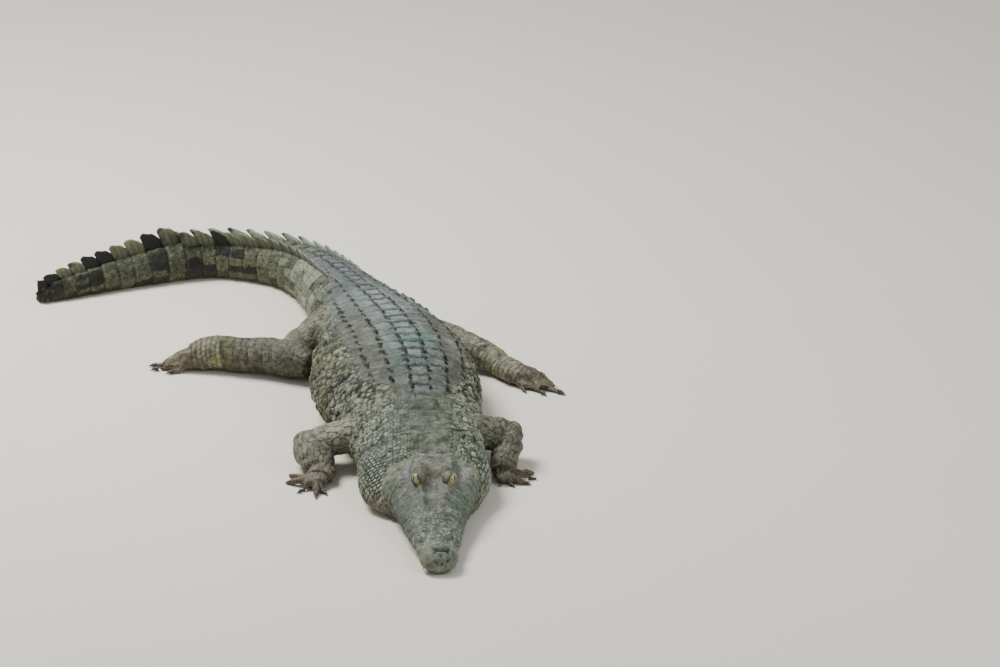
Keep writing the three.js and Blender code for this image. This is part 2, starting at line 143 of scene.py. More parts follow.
# distance from the snout tip, half width on the right and left, height, roundness of the back
girthRows = [
    (0.66, 0.1, 0.1, 0.03, 2.2), (0.72, 0.21, 0.16, 0.09, 2.2), (0.8, 0.31, 0.24, 0.16, 2.2),
    (0.9, 0.405, 0.305, 0.23, 2.2), (1.04, 0.44, 0.34, 0.31, 2.2), (1.2, 0.43, 0.335, 0.37, 2.3),
    (1.4, 0.43, 0.34, 0.4, 2.3), (1.6, 0.46, 0.35, 0.425, 2.3), (1.85, 0.53, 0.37, 0.455, 2.3),
    (2.15, 0.585, 0.4, 0.485, 2.3), (2.5, 0.575, 0.41, 0.49, 2.3), (2.85, 0.5, 0.385, 0.475, 2.3),
    (3.15, 0.37, 0.36, 0.45, 2.2), (3.45, 0.3, 0.31, 0.42, 2.1), (3.75, 0.265, 0.265, 0.385, 2),
    (4.1, 0.22, 0.22, 0.34, 2), (4.5, 0.18, 0.18, 0.295, 2), (5, 0.14, 0.14, 0.255, 2),
    (5.5, 0.11, 0.11, 0.235, 2), (6, 0.08, 0.08, 0.18, 2), (6.25, 0.062, 0.062, 0.145, 2),
    (tailEnd, 0.045, 0.045, 0.1, 2),
]
widestAt = 0.4
bellyDepth = 1.25

# distance from the snout tip, half width of the upper jaw, height of the mouth line, height of the crown
skullRows = [
    (0, 0.058, 0.03, 0.075), (0.012, 0.079, 0.034, 0.1), (0.04, 0.0965, 0.042, 0.118),
    (0.08, 0.107, 0.05, 0.128), (0.12, 0.1085, 0.058, 0.13), (0.15, 0.106, 0.064, 0.13),
    (0.2, 0.1165, 0.06, 0.135), (0.28, 0.1365, 0.052, 0.148), (0.36, 0.152, 0.06, 0.16),
    (0.46, 0.177, 0.078, 0.18), (0.56, 0.201, 0.086, 0.215), (0.66, 0.222, 0.08, 0.245),
    (0.76, 0.246, 0.09, 0.265), (0.86, 0.276, 0.11, 0.278), (0.95, 0.293, 0.12, 0.282),
    (1.02, 0.285, 0.125, 0.275), (1.07, 0.256, 0.14, 0.22),
]
# the head is rolled a little: its base lies to the right of its crown
leanRows = [
    (0, 0), (0.14, 0), (0.28, 0.003), (0.42, -0.005), (0.56, -0.008), (0.67, -0.015), (0.85, -0.02),
    (1.1, -0.02),
]

# dense samples of the backbone, for finding where a point lies along it
spineT = np.linspace(0, tailEnd, 1300)
girthAt = smoothRows(girthRows, spineT)


def spineAt(t):
    # places on the backbone, and the way it heads there
    ahead, behind = (smoothRows(spineRows, t + step)[:, 1:] for step in (0.01, -0.01))
    return smoothRows(spineRows, t)[:, 1:], unit(ahead - behind)


spineXY, spineHeading = spineAt(spineT)


def beside(t, offset, z):
    # a point beside the backbone: offset to the animal's left
    t, offset, z = np.broadcast_arrays(t, offset, z)
    place, heading = spineAt(t.ravel())
    side = offset.ravel()
    x = place[:, 0] + heading[:, 1] * side
    y = place[:, 1] - heading[:, 0] * side
    return np.stack([x, y, z.ravel()], 1).reshape(t.shape + (3,))


def alongSpine(points):
    # distance from the snout and offset to the left, for points seen from above: a coarse search, then
    # a fine one
    nearest = np.empty(len(points), int)
    coarse = np.arange(0, len(spineT), 12)
    for start in range(0, len(points), 20000):
        part = points[start:start + 20000, :2]
        away = part[:, None] - spineXY[coarse][None]
        first = coarse[(away[..., 0] ** 2 + away[..., 1] ** 2).argmin(1)]
        window = np.clip(first[:, None] + np.arange(-12, 13), 0, len(spineT) - 1)
        away = part[:, None] - spineXY[window]
        best = (away[..., 0] ** 2 + away[..., 1] ** 2).argmin(1)
        nearest[start:start + 20000] = window[np.arange(len(part)), best]
    away = points[:, :2] - spineXY[nearest]
    heading = spineHeading[nearest]
    t = spineT[nearest] + (away * heading).sum(1)
    offset = away[:, 0] * heading[:, 1] - away[:, 1] * heading[:, 0]
    return t, offset


origin = beside(restPoint, 0.0, 0.0).reshape(3)


def toFrame(points):
    return (points - origin) * headLength


# camera, floor and light

camera = dict(lens=189.0, height=6.339273926, side=0.17469569, ahead=13.55172667, pitch=22.404368)
cameraData = bpy.data.cameras.new("camera")
cameraData.lens = camera["lens"]
cameraData.sensor_width = 36
cameraData.clip_end = 100
cameraObject = bpy.data.objects.new("camera", cameraData)
snoutTip = toFrame(np.zeros(3))
cameraObject.location = (snoutTip[0] + camera["side"], snoutTip[1] - camera["ahead"], camera["height"])
cameraObject.rotation_euler = (math.radians(90 - camera["pitch"]), 0, 0)
bpy.context.collection.objects.link(cameraObject)
bpy.context.scene.camera = cameraObject


# materials

def addNode(tree, kind, settings=None, links=None):
    # one node: its settings by property or socket, and the sockets that feed it
    node = tree.nodes.new(kind)
    for key, value in (settings or {}).items():
        if isinstance(key, str) and hasattr(node, key):
            setattr(node, key, value)
        else:
            node.inputs[key].default_value = value
    for socket, source in (links or {}).items():
        tree.links.new(source, node.inputs[socket])
    return node


def newMaterial(name, roughness, specular=0.5, coat=0.0):
    material = bpy.data.materials.new(name)
    material.use_nodes = True
    shader = material.node_tree.nodes["Principled BSDF"]
    shader.inputs["Roughness"].default_value = roughness
    shader.inputs["Specular IOR Level"].default_value = specular
    shader.inputs["Coat Weight"].default_value = coat
    return material, material.node_tree, shader


def rgba(hexColor):
    return (*linear(hexColor), 1.0)


def perMetre(sizeInMm):
    # noise scale that makes a feature of this size when the coordinates are metres
    return 1000 / sizeInMm


# studio: a pale floor and soft light from above

studio = dict(floor="d8d2c6", floorSize=60.0, keySize=2.6, keyPower=500.0, fillPower=125.0, skyStrength=0.5)
floorMesh = bpy.data.meshes.new("studioFloor")
half = studio["floorSize"] / 2
floorMesh.from_pydata([(-half, -half, 0), (half, -half, 0), (half, half, 0), (-half, half, 0)], [],
                      [(0, 1, 2, 3)])
floor = bpy.data.objects.new("studioFloor", floorMesh)
bpy.context.collection.objects.link(floor)
floor.location.z = cadBox[0][2] - 0.0005
paint, tree, shader = newMaterial("matt wall paint", 0.9, 0.2)
speckle = addNode(tree, "ShaderNodeTexNoise", {"Scale": perMetre(900), "Detail": 3.0},
                  {"Vector": addNode(tree, "ShaderNodeTexCoord").outputs["Object"]})
shade = addNode(tree, "ShaderNodeMixRGB", {"Color1": rgba(studio["floor"]), "Color2": rgba("dcd7cc")},
                {"Fac": speckle.outputs["Fac"]})
tree.links.new(shade.outputs["Color"], shader.inputs["Base Color"])
floorMesh.materials.append(paint)


def areaLight(name, place, target, size, power, color):
    data = bpy.data.lights.new(name, "AREA")
    data.shape = "DISK"
    data.size = size
    data.energy = power
    data.color = color
    lamp = bpy.data.objects.new(name, data)
    bpy.context.collection.objects.link(lamp)
    lamp.location = place
    aim = unit(np.array(target, float) - np.array(place, float))
    lamp.rotation_euler = (math.acos(-aim[2]), 0, math.atan2(aim[1], aim[0]) - math.pi / 2)
    return lamp


areaLight("keyLight", (-2.5, 1.3, 4.8), (-0.2, 0.1, 0.1), studio["keySize"], studio["keyPower"],
          (1.0, 0.985, 0.96))
areaLight("fillLight", (4.2, -3.2, 3.4), (-0.2, 0.1, 0.1), 4.0, studio["fillPower"], (0.94, 0.97, 1.0))
world = bpy.data.worlds.new("studioSky")
world.use_nodes = True
world.node_tree.nodes["Background"].inputs["Color"].default_value = (0.93, 0.96, 1.0, 1.0)
world.node_tree.nodes["Background"].inputs["Strength"].default_value = studio["skyStrength"]
bpy.context.scene.world = world
print("stage: camera, floor and light are set")


# shells: closed bodies that are melted into one skin

class Shells:
    def __init__(self):
        self.points = []
        self.faces = []

    def add(self, rings):
        # rings of points, closed by a point at each end
        count, sides = rings.shape[:2]
        first = sum(len(p) for p in self.points)
        ends = np.stack([rings[0].mean(0), rings[-1].mean(0)])
        self.points.append(np.concatenate([rings.reshape(-1, 3), ends]))
        a = np.arange(count - 1)[:, None] * sides + np.arange(sides)
        b = np.arange(count - 1)[:, None] * sides + (np.arange(sides) + 1) % sides
        self.faces += (np.stack([a, b, b + sides, a + sides], -1).reshape(-1, 4) + first).tolist()
        last = first + (count - 1) * sides
        for i in range(sides):
            j = (i + 1) % sides
            self.faces.append([first + j, first + i, first + count * sides])
            self.faces.append([last + i, last + j, first + count * sides + 1])


def sectionOutline(height, roundness, angle):
    # at angles round the body: height of its outline, how high that half rises, and the power of its curve
    s = np.sin(angle)
    middle = height * widestAt
    power = np.where(s < 0, 2.2, roundness)
    rise = np.where(s < 0, middle * bellyDepth, height - middle)
    return np.maximum(middle + np.sign(s) * rise * np.abs(s) ** (2 / power), 0), rise, power


def bodyRings(start, end, step, sides):
    t = np.linspace(start, end, int((end - start) / step))[:, None]
    columns = smoothRows(girthRows, t[:, 0])[:, 1:, None]
    right, left, height, roundness = (columns[:, i] for i in range(4))
    angle = 2 * np.pi * np.arange(sides)[None] / sides
    c = np.cos(angle)
    z, _, power = sectionOutline(height, roundness, angle)
    offset = np.where(c < 0, right, left) * np.sign(c) * np.abs(c) ** (2 / power)
    return beside(t, offset, z)


# pits on top of the snout tip and the nostril valves: place and offset from the middle of the nose;
# pits on its front: height up the snout tip and offset
nosePits = [(0.052, -0.034), (0.028, -0.004), (0.054, 0.034)]
nostrilValves = [(0.094, -0.014), (0.094, 0.012)]
frontPits = [(0.52, -0.036), (0.36, -0.002), (0.54, 0.034)]

# swellings and hollows at the back of the head: rise, place, length, distance from the middle, width
backSwellings = [
    (0.014, 1.0, 0.025, 0.085, 0.03), (-0.008, 0.9, 0.035, 0.05, 0.022), (0.024, 0.92, 0.07, 0.235, 0.035),
    (-0.012, 0.87, 0.1, 0.17, 0.024), (0.014, 0.77, 0.05, 0.205, 0.03),
]

# head: what stands up from the crown, as places and sizes in head lengths
headShape = dict(
    nose=dict(at=0.095, side=0.012, rise=0.024, length=0.05, width=0.055),
    brow=dict(at=0.768, offset=0.07, rise=0.044, length=0.065, width=0.042),
    table=dict(front=0.74, halfWidth=0.106, rise=0.038, edge=0.05),
    eye=dict(at=0.722, offset=0.09, height=0.287, radius=0.04, turret=(0.0455, 0.05, 0.0445), lid=0.0452,
             hidden=0.033, facing=(0.53, -0.75, 0.4), along=(0.35, 0.62, 0.7), halfLength=58, halfWidth=24,
             pupil=(0.72, -0.68, 0.16), pupilLean=0.4, pupilLength=32, pupilWidth=9.5, rows=72, sides=72),
)


def skullLean(t):
    return smoothRows(leanRows, np.ravel(t))[:, 1].reshape(np.shape(t))


def nostrilDisc(t, beyond):
    # distance from the middle of the nostril disc
    return np.hypot(t - 0.1, beyond * 0.85)


def bigToothHollow(t, side):
    # distance from the hollow in front of the swelling over the big teeth
    return np.hypot(t - 0.225, (side - 0.09) * 0.7)


def plainWidth(t):
    return smoothRows(skullRows, t)[:, 1] * 1.02 + 0.004 * smoothStep(t, 0.02, 0.1)


def crownHeight(t, offset):
    columns = smoothRows(skullRows, t.ravel())
    mouth, height = (columns[:, i].reshape(t.shape) for i in (2, 3))
    width = plainWidth(t.ravel()).reshape(t.shape)
    side = np.abs(offset)
    share = np.minimum(np.abs(offset - skullLean(t)) / width, 1)
    dome = mouth + (height - mouth) * (1 - share**2.5) ** (1 / 2.2)
    nose, brow, table = headShape["nose"], headShape["brow"], headShape["table"]
    beyond = offset - nose["side"]
    rise = nose["rise"] * bump(t, nose["at"], nose["length"]) * bump(beyond, 0, nose["width"])
    # nostril disc: a low rim, a crescent slit in front and two small valves
    disc = nostrilDisc(t, beyond)
    rise += 0.008 * bump(disc, 0.028, 0.012)
    rise -= 0.012 * bump(disc, 0.045, 0.005) * smoothStep(0.1 - t, 0.004, 0.018)
    rise -= 0.009 * bump(np.hypot(t - 0.094, (np.abs(beyond) - 0.012) * 0.8), 0, 0.006)
    # pits on the snout tip
    for place, across in nosePits:
        rise -= 0.012 * bump(np.hypot(t - place, beyond - across), 0, 0.009)
    # swellings over the big teeth, the ridge before each eye and the hollow between the eyes
    rise += 0.017 * bump(t, 0.3, 0.05) * bump(side, 0.095, 0.035)
    rise += 0.01 * bump(t, 0.45, 0.06) * bump(offset, 0, 0.07)
    rise -= 0.012 * bump(t, 0.19, 0.035) * bump(side, 0.06, 0.03)
    ridge = between(t, 0.45, 0.62, 0.68, 0.74)
    rise += 0.022 * ridge * bump(side, 0.078 - 0.1 * (0.7 - t), 0.02)
    rise += 0.006 * smoothStep(t, 0.5, 0.6) * fade(t, 0.7, 0.82) * bump(offset, 0, 0.01)
    rise -= 0.006 * bump(t, 0.72, 0.09) * bump(offset, 0, 0.035)
    rise += brow["rise"] * bump(t, brow["at"], brow["length"]) * bump(side, brow["offset"], brow["width"])
    # dark hollows in front of the swellings over the big teeth
    rise -= 0.012 * bump(bigToothHollow(t, side), 0, 0.02)
    # the skull table, its ragged back edge and lumpy top
    ragged = t + 0.012 * np.sin(95 * offset + 1) + 0.009 * np.sin(210 * offset + 50 * t)
    ragged = ragged + 0.02 * bump(side, 0.1, 0.03)
    onTable = fade(side, table["halfWidth"], table["halfWidth"] + table["edge"])
    atBack = fade(ragged, 1.015, 1.05)
    lumps = np.sin(70 * offset + 3 * np.sin(40 * t)) * np.sin(62 * t + 2.5 * np.sin(55 * offset))
    raised = table["rise"] + 0.0035 * lumps
    rise += raised * smoothStep(t, table["front"], table["front"] + 0.08) * onTable * atBack
    rise += 0.008 * bump(side, table["halfWidth"] - 0.006, 0.012) * smoothStep(t, 0.8, 0.86) * atBack
    # knobs at the table's corners, cheek bulges and the hollow between the cheek and the table
    for swelling, at, length, across, width in backSwellings:
        rise += swelling * bump(t, at, length) * bump(side, across, width)
    return dome + rise * smoothStep(1 - share, 0, 0.12)


def skullWidth(t):
    # half width of the upper jaw, with a low festoon over each tooth
    festoon = np.cos(2 * np.pi * t / 0.057) * fade(t, 0.55, 0.65) * smoothStep(t, 0.02, 0.06)
    return plainWidth(t) + 0.0025 * festoon


def skullRings():
    t = np.concatenate([np.linspace(0, 0.012, 8)[:-1], np.linspace(0.012, 1.07, 250)])
    mouth = smoothRows(skullRows, t)[:, 2]
    width = skullWidth(t)[:, None]
    angle = np.pi * np.arange(121) / 120
    middle = skullLean(t)[:, None]
    offset = middle + width * np.cos(angle)
    z = np.concatenate([mouth[:, None], crownHeight(t[:, None] + 0 * offset, offset)[:, 1:-1],
                        mouth[:, None]], 1)
    crown = beside(t[:, None], offset, z)
    share = np.linspace(-0.94, 0.94, 31)
    palate = beside(t[:, None], middle + width * share, mouth[:, None] + 0 * share)
    return np.concatenate([crown, palate], 1)


def jawRings():
    t = np.linspace(0, 1.06, 200)
    columns = smoothRows(skullRows, t)
    halfWidth = (columns[:, 1] - 0.02)[:, None]
    top = columns[:, 2][:, None] + 0.002
    chin = (0.45 * fade(t, 0, 0.08))[:, None]
    angle = np.linspace(0, np.pi, 41)[None]
    middle = skullLean(t)[:, None]
    across = middle + halfWidth * np.sign(np.cos(angle)) * np.abs(np.cos(angle)) ** 0.55
    depth = top * (1 - (1 - chin) * np.sin(angle) ** 0.7)
    under = beside(t[:, None], across, np.maximum(depth, 0))
    share = np.linspace(-0.9, 0.9, 21)
    over = beside(t[:, None], middle + halfWidth * share, top + 0 * share)
    return np.concatenate([under, over], 1)


def ballRings(centre, radii, rows, sides):
    # an egg of rings from the bottom to the top
    rise = np.linspace(-1.5, 1.5, rows)[:, None]
    turn = 2 * np.pi * np.arange(sides) / sides
    direction = np.stack([np.cos(rise) * np.cos(turn), np.cos(rise) * np.sin(turn), np.sin(rise) + 0 * turn],
                         -1)
    return centre + direction * np.array(radii)


# limbs: stations x, y, z, half width, half height, from inside the body outwards
limbTables = dict(
    foreRight=dict(
        upper=[(-0.22, 1.6, 0.23, 0.13, 0.12), (-0.45, 1.6, 0.22, 0.12, 0.11),
               (-0.64, 1.58, 0.175, 0.105, 0.1),
               (-0.77, 1.56, 0.14, 0.095, 0.09), (-0.83, 1.55, 0.125, 0.06, 0.06)],
        lower=[(-0.8, 1.66, 0.12, 0.07, 0.075), (-0.785, 1.57, 0.13, 0.105, 0.105),
               (-0.75, 1.46, 0.115, 0.11, 0.095),
               (-0.715, 1.36, 0.075, 0.09, 0.062), (-0.72, 1.3, 0.055, 0.08, 0.048)],
        palm=[(-0.726, 1.325, 0.052, 0.066, 0.045), (-0.745, 1.27, 0.04, 0.07, 0.038),
              (-0.765, 1.23, 0.03, 0.056, 0.028)],
        toes=[(-0.664, 1.129), (-0.733, 1.079), (-0.853, 1.158), (-0.93, 1.31), (-0.91, 1.419)]),
    foreLeft=dict(
        upper=[(0.0, 1.55, 0.24, 0.13, 0.12), (0.16, 1.56, 0.235, 0.12, 0.11), (0.29, 1.6, 0.2, 0.105, 0.1),
               (0.4, 1.65, 0.165, 0.085, 0.085), (0.45, 1.68, 0.15, 0.05, 0.05)],
        lower=[(0.44, 1.73, 0.15, 0.05, 0.065), (0.415, 1.65, 0.155, 0.075, 0.095),
               (0.39, 1.53, 0.125, 0.085, 0.09),
               (0.365, 1.42, 0.085, 0.08, 0.065), (0.36, 1.36, 0.06, 0.075, 0.05)],
        palm=[(0.362, 1.375, 0.055, 0.066, 0.045), (0.38, 1.34, 0.042, 0.072, 0.038),
              (0.405, 1.31, 0.03, 0.05, 0.028)],
        toes=[(0.34, 1.255), (0.44, 1.245), (0.54, 1.285), (0.58, 1.37), (0.565, 1.46)]),
    hindRight=dict(
        upper=[(-0.42, 3.5, 0.24, 0.15, 0.15), (-0.6, 3.35, 0.23, 0.152, 0.15),
               (-0.775, 3.15, 0.19, 0.138, 0.14),
               (-0.9, 3, 0.15, 0.118, 0.125), (-0.925, 2.91, 0.12, 0.08, 0.092)],
        lower=[(-0.82, 2.85, 0.11, 0.085, 0.09), (-0.9, 2.91, 0.125, 0.11, 0.115),
               (-1.06, 2.97, 0.128, 0.105, 0.118),
               (-1.22, 3.02, 0.122, 0.094, 0.114), (-1.36, 3.05, 0.114, 0.09, 0.108)],
        palm=[(-1.36, 3.05, 0.112, 0.09, 0.107), (-1.46, 3.075, 0.106, 0.096, 0.104),
              (-1.58, 3.085, 0.084, 0.092, 0.082)],
        toes=[(-1.733, 2.974), (-1.831, 3.035), (-1.846, 3.1), (-1.743, 3.16)]),
    hindLeft=dict(
        upper=[(-0.5, 3.38, 0.2, 0.14, 0.14), (-0.32, 3.36, 0.18, 0.135, 0.135),
               (-0.14, 3.31, 0.158, 0.115, 0.112),
               (0.0, 3.25, 0.14, 0.1, 0.1), (0.06, 3.21, 0.13, 0.07, 0.075)],
        lower=[(-0.05, 3.3, 0.14, 0.08, 0.085), (0.03, 3.22, 0.145, 0.1, 0.1), (0.16, 3.1, 0.13, 0.1, 0.095),
               (0.29, 3.01, 0.1, 0.08, 0.08), (0.36, 2.95, 0.085, 0.072, 0.072)],
        palm=[(0.35, 2.96, 0.08, 0.075, 0.07), (0.42, 2.89, 0.072, 0.088, 0.068),
              (0.51, 2.81, 0.052, 0.084, 0.05)],
        toes=[(0.51, 2.672), (0.639, 2.625), (0.756, 2.641), (0.72, 2.75)]),
)
toeSizes = dict(
    fore=dict(rootWidth=0.025, tipWidth=0.0125, tall=1.0, claw=0.045, clawed=3),
    hind=dict(rootWidth=0.033, tipWidth=0.0165, tall=1.5, claw=0.055, clawed=3),
)
clawGap = 0.3 * millimetre


def toeStations(palm, tip, toe, clawed):
    root = np.array(palm[1][:3])
    tip = np.array(tip)
    reach = np.linalg.norm(tip - root[:2])
    flesh = (reach - toe["claw"]) / reach if clawed else 0.97

    def station(share, z, half, flat):
        return (*(root[:2] + (tip - root[:2]) * share), z, half, half * flat)

    thick, thin, tall = toe["rootWidth"], toe["tipWidth"], toe["tall"]
    skin = [station(0.12, root[2], thick, 0.9 * tall),
            station(flesh * 0.55, root[2] * 0.75, thick * 0.9, 0.95 * tall),
            station(flesh * 0.85, thin * 1.25, thin * 1.15, 1.1)]
    last = station(flesh, thin, thin * 0.9, 0.9) if clawed else station(flesh, thin * 0.6, thin * 0.35, 0.9)
    skin.append(last)
    claw = [station(flesh + clawGap / reach, thin, thin * 0.72, 0.9),
            station(flesh + (1 - flesh) * 0.5, thin * 0.85, thin * 0.5, 1),
            station(1, thin * 0.3, thin * 0.1, 1)]
    return skin, claw


def stationLine(stations, count):
    # places and axes along a row of stations
    stations = np.array(stations, float)
    length = np.concatenate([[0], np.cumsum(np.linalg.norm(np.diff(stations[:, :3], axis=0), axis=1))])
    rows = np.column_stack([length, stations])
    t = np.linspace(0, length[-1], count)
    at = smoothRows(rows, t)
    ahead = unit(smoothRows(rows, t + length[-1] * 0.02)[:, 1:4]
                 - smoothRows(rows, t - length[-1] * 0.02)[:, 1:4])
    across = unit(np.stack([-ahead[:, 1], ahead[:, 0], 0 * ahead[:, 0]], 1))
    up = np.cross(ahead, across)
    return dict(t=t, place=at[:, 1:4], ahead=ahead, across=across, up=up, width=at[:, 4], height=at[:, 5],
                length=length[-1])


def limbRings(line, sides, swell=None):
    angle = 2 * np.pi * (np.arange(sides) + 0.5) / sides
    scale = np.ones(len(line["t"])) if swell is None else swell
    reach = (line["across"][:, None] * (line["width"] * scale)[:, None, None] * np.cos(angle)[None, :, None]
             + line["up"][:, None] * (line["height"] * scale)[:, None, None] * np.sin(angle)[None, :, None])
    rings = line["place"][:, None] + reach
    rings[..., 2] = np.maximum(rings[..., 2], 0)
    return rings


def webRings(palm, tips):
    # the web between the hind toes: flat rings from the palm towards the toe tips
    root, tips = np.array(palm[1][:3]), np.array(tips)
    rows = []
    for share in np.linspace(0.1, 0.86, 16):
        edge = root[:2] + (tips - root[:2]) * (share * (1 - 0.1 * (share > 0.6)))
        before = edge[:1] + (edge[:1] - edge[1:2]) * 0.05
        after = edge[-1:] + (edge[-1:] - edge[-2:-1]) * 0.05
        line = np.concatenate([before, edge, after])
        height = root[2] * (1 - share) * 0.85 + 0.02
        thick = 0.08 * (1 - share) ** 1.2 + 0.008
        upper = np.column_stack([line, np.full(len(line), height + thick)])
        lower = np.column_stack([line, np.full(len(line), height - thick)])[::-1]
        upper[[0, -1], 2] -= thick * 0.6
        rows.append(np.concatenate([upper, lower]))
    return np.maximum(np.array(rows), [-99, -99, 0.004])


# every limb length and toe, as a line that the skin's patterns can be measured along
lines = []
claws = []
webs = []
for limbName, parts in limbTables.items():
    size = toeSizes["fore" if limbName.startswith("fore") else "hind"]
    for partName in ("upper", "lower", "palm"):
        line = stationLine(parts[partName], 48)
        lines.append(dict(line, limb=limbName, kind=partName))
    if limbName.startswith("hind"):
        webs.append(webRings(parts["palm"], parts["toes"]))
    for index, tip in enumerate(parts["toes"]):
        skin, claw = toeStations(parts["palm"], tip, size, index < size["clawed"])
        lines.append(dict(stationLine(skin, 32), limb=limbName, kind="toe"))
        if index < size["clawed"]:
            claws.append(dict(limb=limbName, index=index + 1, stations=claw))

eye = headShape["eye"]
eyeCentres = [beside(eye["at"], sign * eye["offset"], eye["height"]).reshape(1, 3) for sign in (-1, 1)]
shells = Shells()
shells.add(bodyRings(0.66, tailEnd, 0.012, 144))
shells.add(skullRings())
shells.add(jawRings())
for sign, centre in zip((-1, 1), eyeCentres):
    shells.add(ballRings(centre, eye["turret"], 24, 36))
for line in lines:
    swell = None
    if line["kind"] == "toe":
        share = line["t"] / line["length"]
        swell = 1 + 0.1 * (bump(share, 0.35, 0.09) + bump(share, 0.68, 0.07)) - 0.05 * bump(share, 0.52, 0.07)
    shells.add(limbRings(line, 28, swell))
for web in webs:
    shells.add(web)

for leftover in [o for o in bpy.data.objects if o.name in ("Cube", "Light", "Camera")]:
    bpy.data.objects.remove(leftover)

# one skin: the shells are melted together in a space where the head and hands are larger, so they come
# out finer
skinGrid = dict(voxel=0.0038 / headLength, zoom=1.75, zoomTo=1.45, zoomEnd=2.5)
yRuler = np.linspace(-0.3, 5.2, 4000)
zoomRuler = 1 + (skinGrid["zoom"] - 1) * fade(yRuler, skinGrid["zoomTo"], skinGrid["zoomEnd"])
stretched = np.concatenate([[0], np.cumsum((zoomRuler[1:] + zoomRuler[:-1]) / 2 * np.diff(yRuler))])


def zoomed(points):
    zoom = np.interp(points[:, 1], yRuler, zoomRuler)
    return np.stack([points[:, 0] * zoom, np.interp(points[:, 1], yRuler, stretched), points[:, 2] * zoom], 1)


def unzoomed(points):
    y = np.interp(points[:, 1], stretched, yRuler)
    zoom = np.interp(y, yRuler, zoomRuler)
    return np.stack([points[:, 0] / zoom, y, points[:, 2] / zoom], 1)


# round the eyes and nose, a point at distance r moves out to r + gain r / (1 + (r / reach)^2)
lensRuler = np.linspace(0, 12, 24001)


def pushOut(points, lens):
    away = points - lens["centre"]
    far = np.linalg.norm(away, axis=1, keepdims=True)
    return lens["centre"] + away * (1 + lens["gain"] / (1 + (far / lens["reach"]) ** 2))


def pullIn(points, lens):
    away = points - lens["centre"]
    far = np.linalg.norm(away, axis=1, keepdims=True)
    moved = lensRuler * (1 + lens["gain"] / (1 + (lensRuler / lens["reach"]) ** 2))
    return lens["centre"] + away * np.interp(far, moved, lensRuler) / np.maximum(far, 1e-9)


lenses = []
for place, gain, reach in ((eyeCentres[0], 1.3, 0.06), (eyeCentres[1], 1.3, 0.06),
                           (beside(0.08, 0.0, 0.13), 0.8, 0.1)):
    centre = zoomed(place.reshape(1, 3))
    for earlier in lenses:
        centre = pushOut(centre, earlier)
    lenses.append(dict(centre=centre, gain=gain, reach=reach * skinGrid["zoom"]))


def enlarge(points):
    points = zoomed(points)
    for lens in lenses:
        points = pushOut(points, lens)
    return points


def restore(points):
    for lens in reversed(lenses):
        points = pullIn(points, lens)
    return unzoomed(points)


def meltedSkin():
    mesh = bpy.data.meshes.new("shells")
    mesh.from_pydata(enlarge(np.concatenate(shells.points)).tolist(), [], shells.faces)
    holder = bpy.data.objects.new("shells", mesh)
    bpy.context.collection.objects.link(holder)
    remesh = holder.modifiers.new("remesh", "REMESH")
    remesh.mode = "VOXEL"
    remesh.voxel_size = skinGrid["voxel"]
    melted = bpy.data.meshes.new_from_object(holder.evaluated_get(bpy.context.evaluated_depsgraph_get()))
    points = np.empty(len(melted.vertices) * 3)
    melted.vertices.foreach_get("co", points)
    corners = np.empty(len(melted.loops), np.int32)
    melted.loops.foreach_get("vertex_index", corners)
    bpy.data.objects.remove(holder)
    bpy.data.meshes.remove(mesh)
    bpy.data.meshes.remove(melted)
    return restore(points.reshape(-1, 3)), corners.reshape(-1, 4)


skinPoints, quads = meltedSkin()
print("skin melted:", len(skinPoints), "points,", len(quads), "faces")


# where each point of the skin lies: along the backbone, round the body, and on which limb

def neighbourMean(values, edges, count):
    ends = np.bincount(edges[:, 0], minlength=len(values)) + np.bincount(edges[:, 1], minlength=len(values))
    for _ in range(count):
        total = np.stack([
            np.bincount(edges[:, 0], values[edges[:, 1], k], len(values))
            + np.bincount(edges[:, 1], values[edges[:, 0], k], len(values))
            for k in range(values.shape[1])], 1)
        values = total / ends[:, None]
    return values


def skinEdges(quads):
    pairs = np.concatenate([quads[:, [0, 1]], quads[:, [1, 2]], quads[:, [2, 3]], quads[:, [3, 0]]])
    count = int(quads.max()) + 1
    keys = np.unique(pairs.min(1).astype(np.int64) * count + pairs.max(1))
    return np.stack([keys // count, keys % count], 1)


def pointNormals(points, quads):
    across = np.cross(points[quads[:, 2]] - points[quads[:, 0]], points[quads[:, 3]] - points[quads[:, 1]])
    total = np.stack([sum(np.bincount(quads[:, c], across[:, k], len(points)) for c in range(4))
                      for k in range(3)], 1)
    return unit(total)


edges = skinEdges(quads)
skinPoints = skinPoints * 0.4 + 0.6 * neighbourMean(skinPoints, edges, 2)
bodyT, bodyOffset = alongSpine(skinPoints)


def eyeAxes(sign):
    # the way the eye opening faces, its long axis and its short axis towards the top of the head
    facing = unit(np.array(eye["facing"]) * [sign, 1, 1])
    along = unit(np.array(eye["along"]) * [sign, 1, 1])
    along = unit(along - facing * (along @ facing))
    return facing, along, np.cross(facing, along) * sign


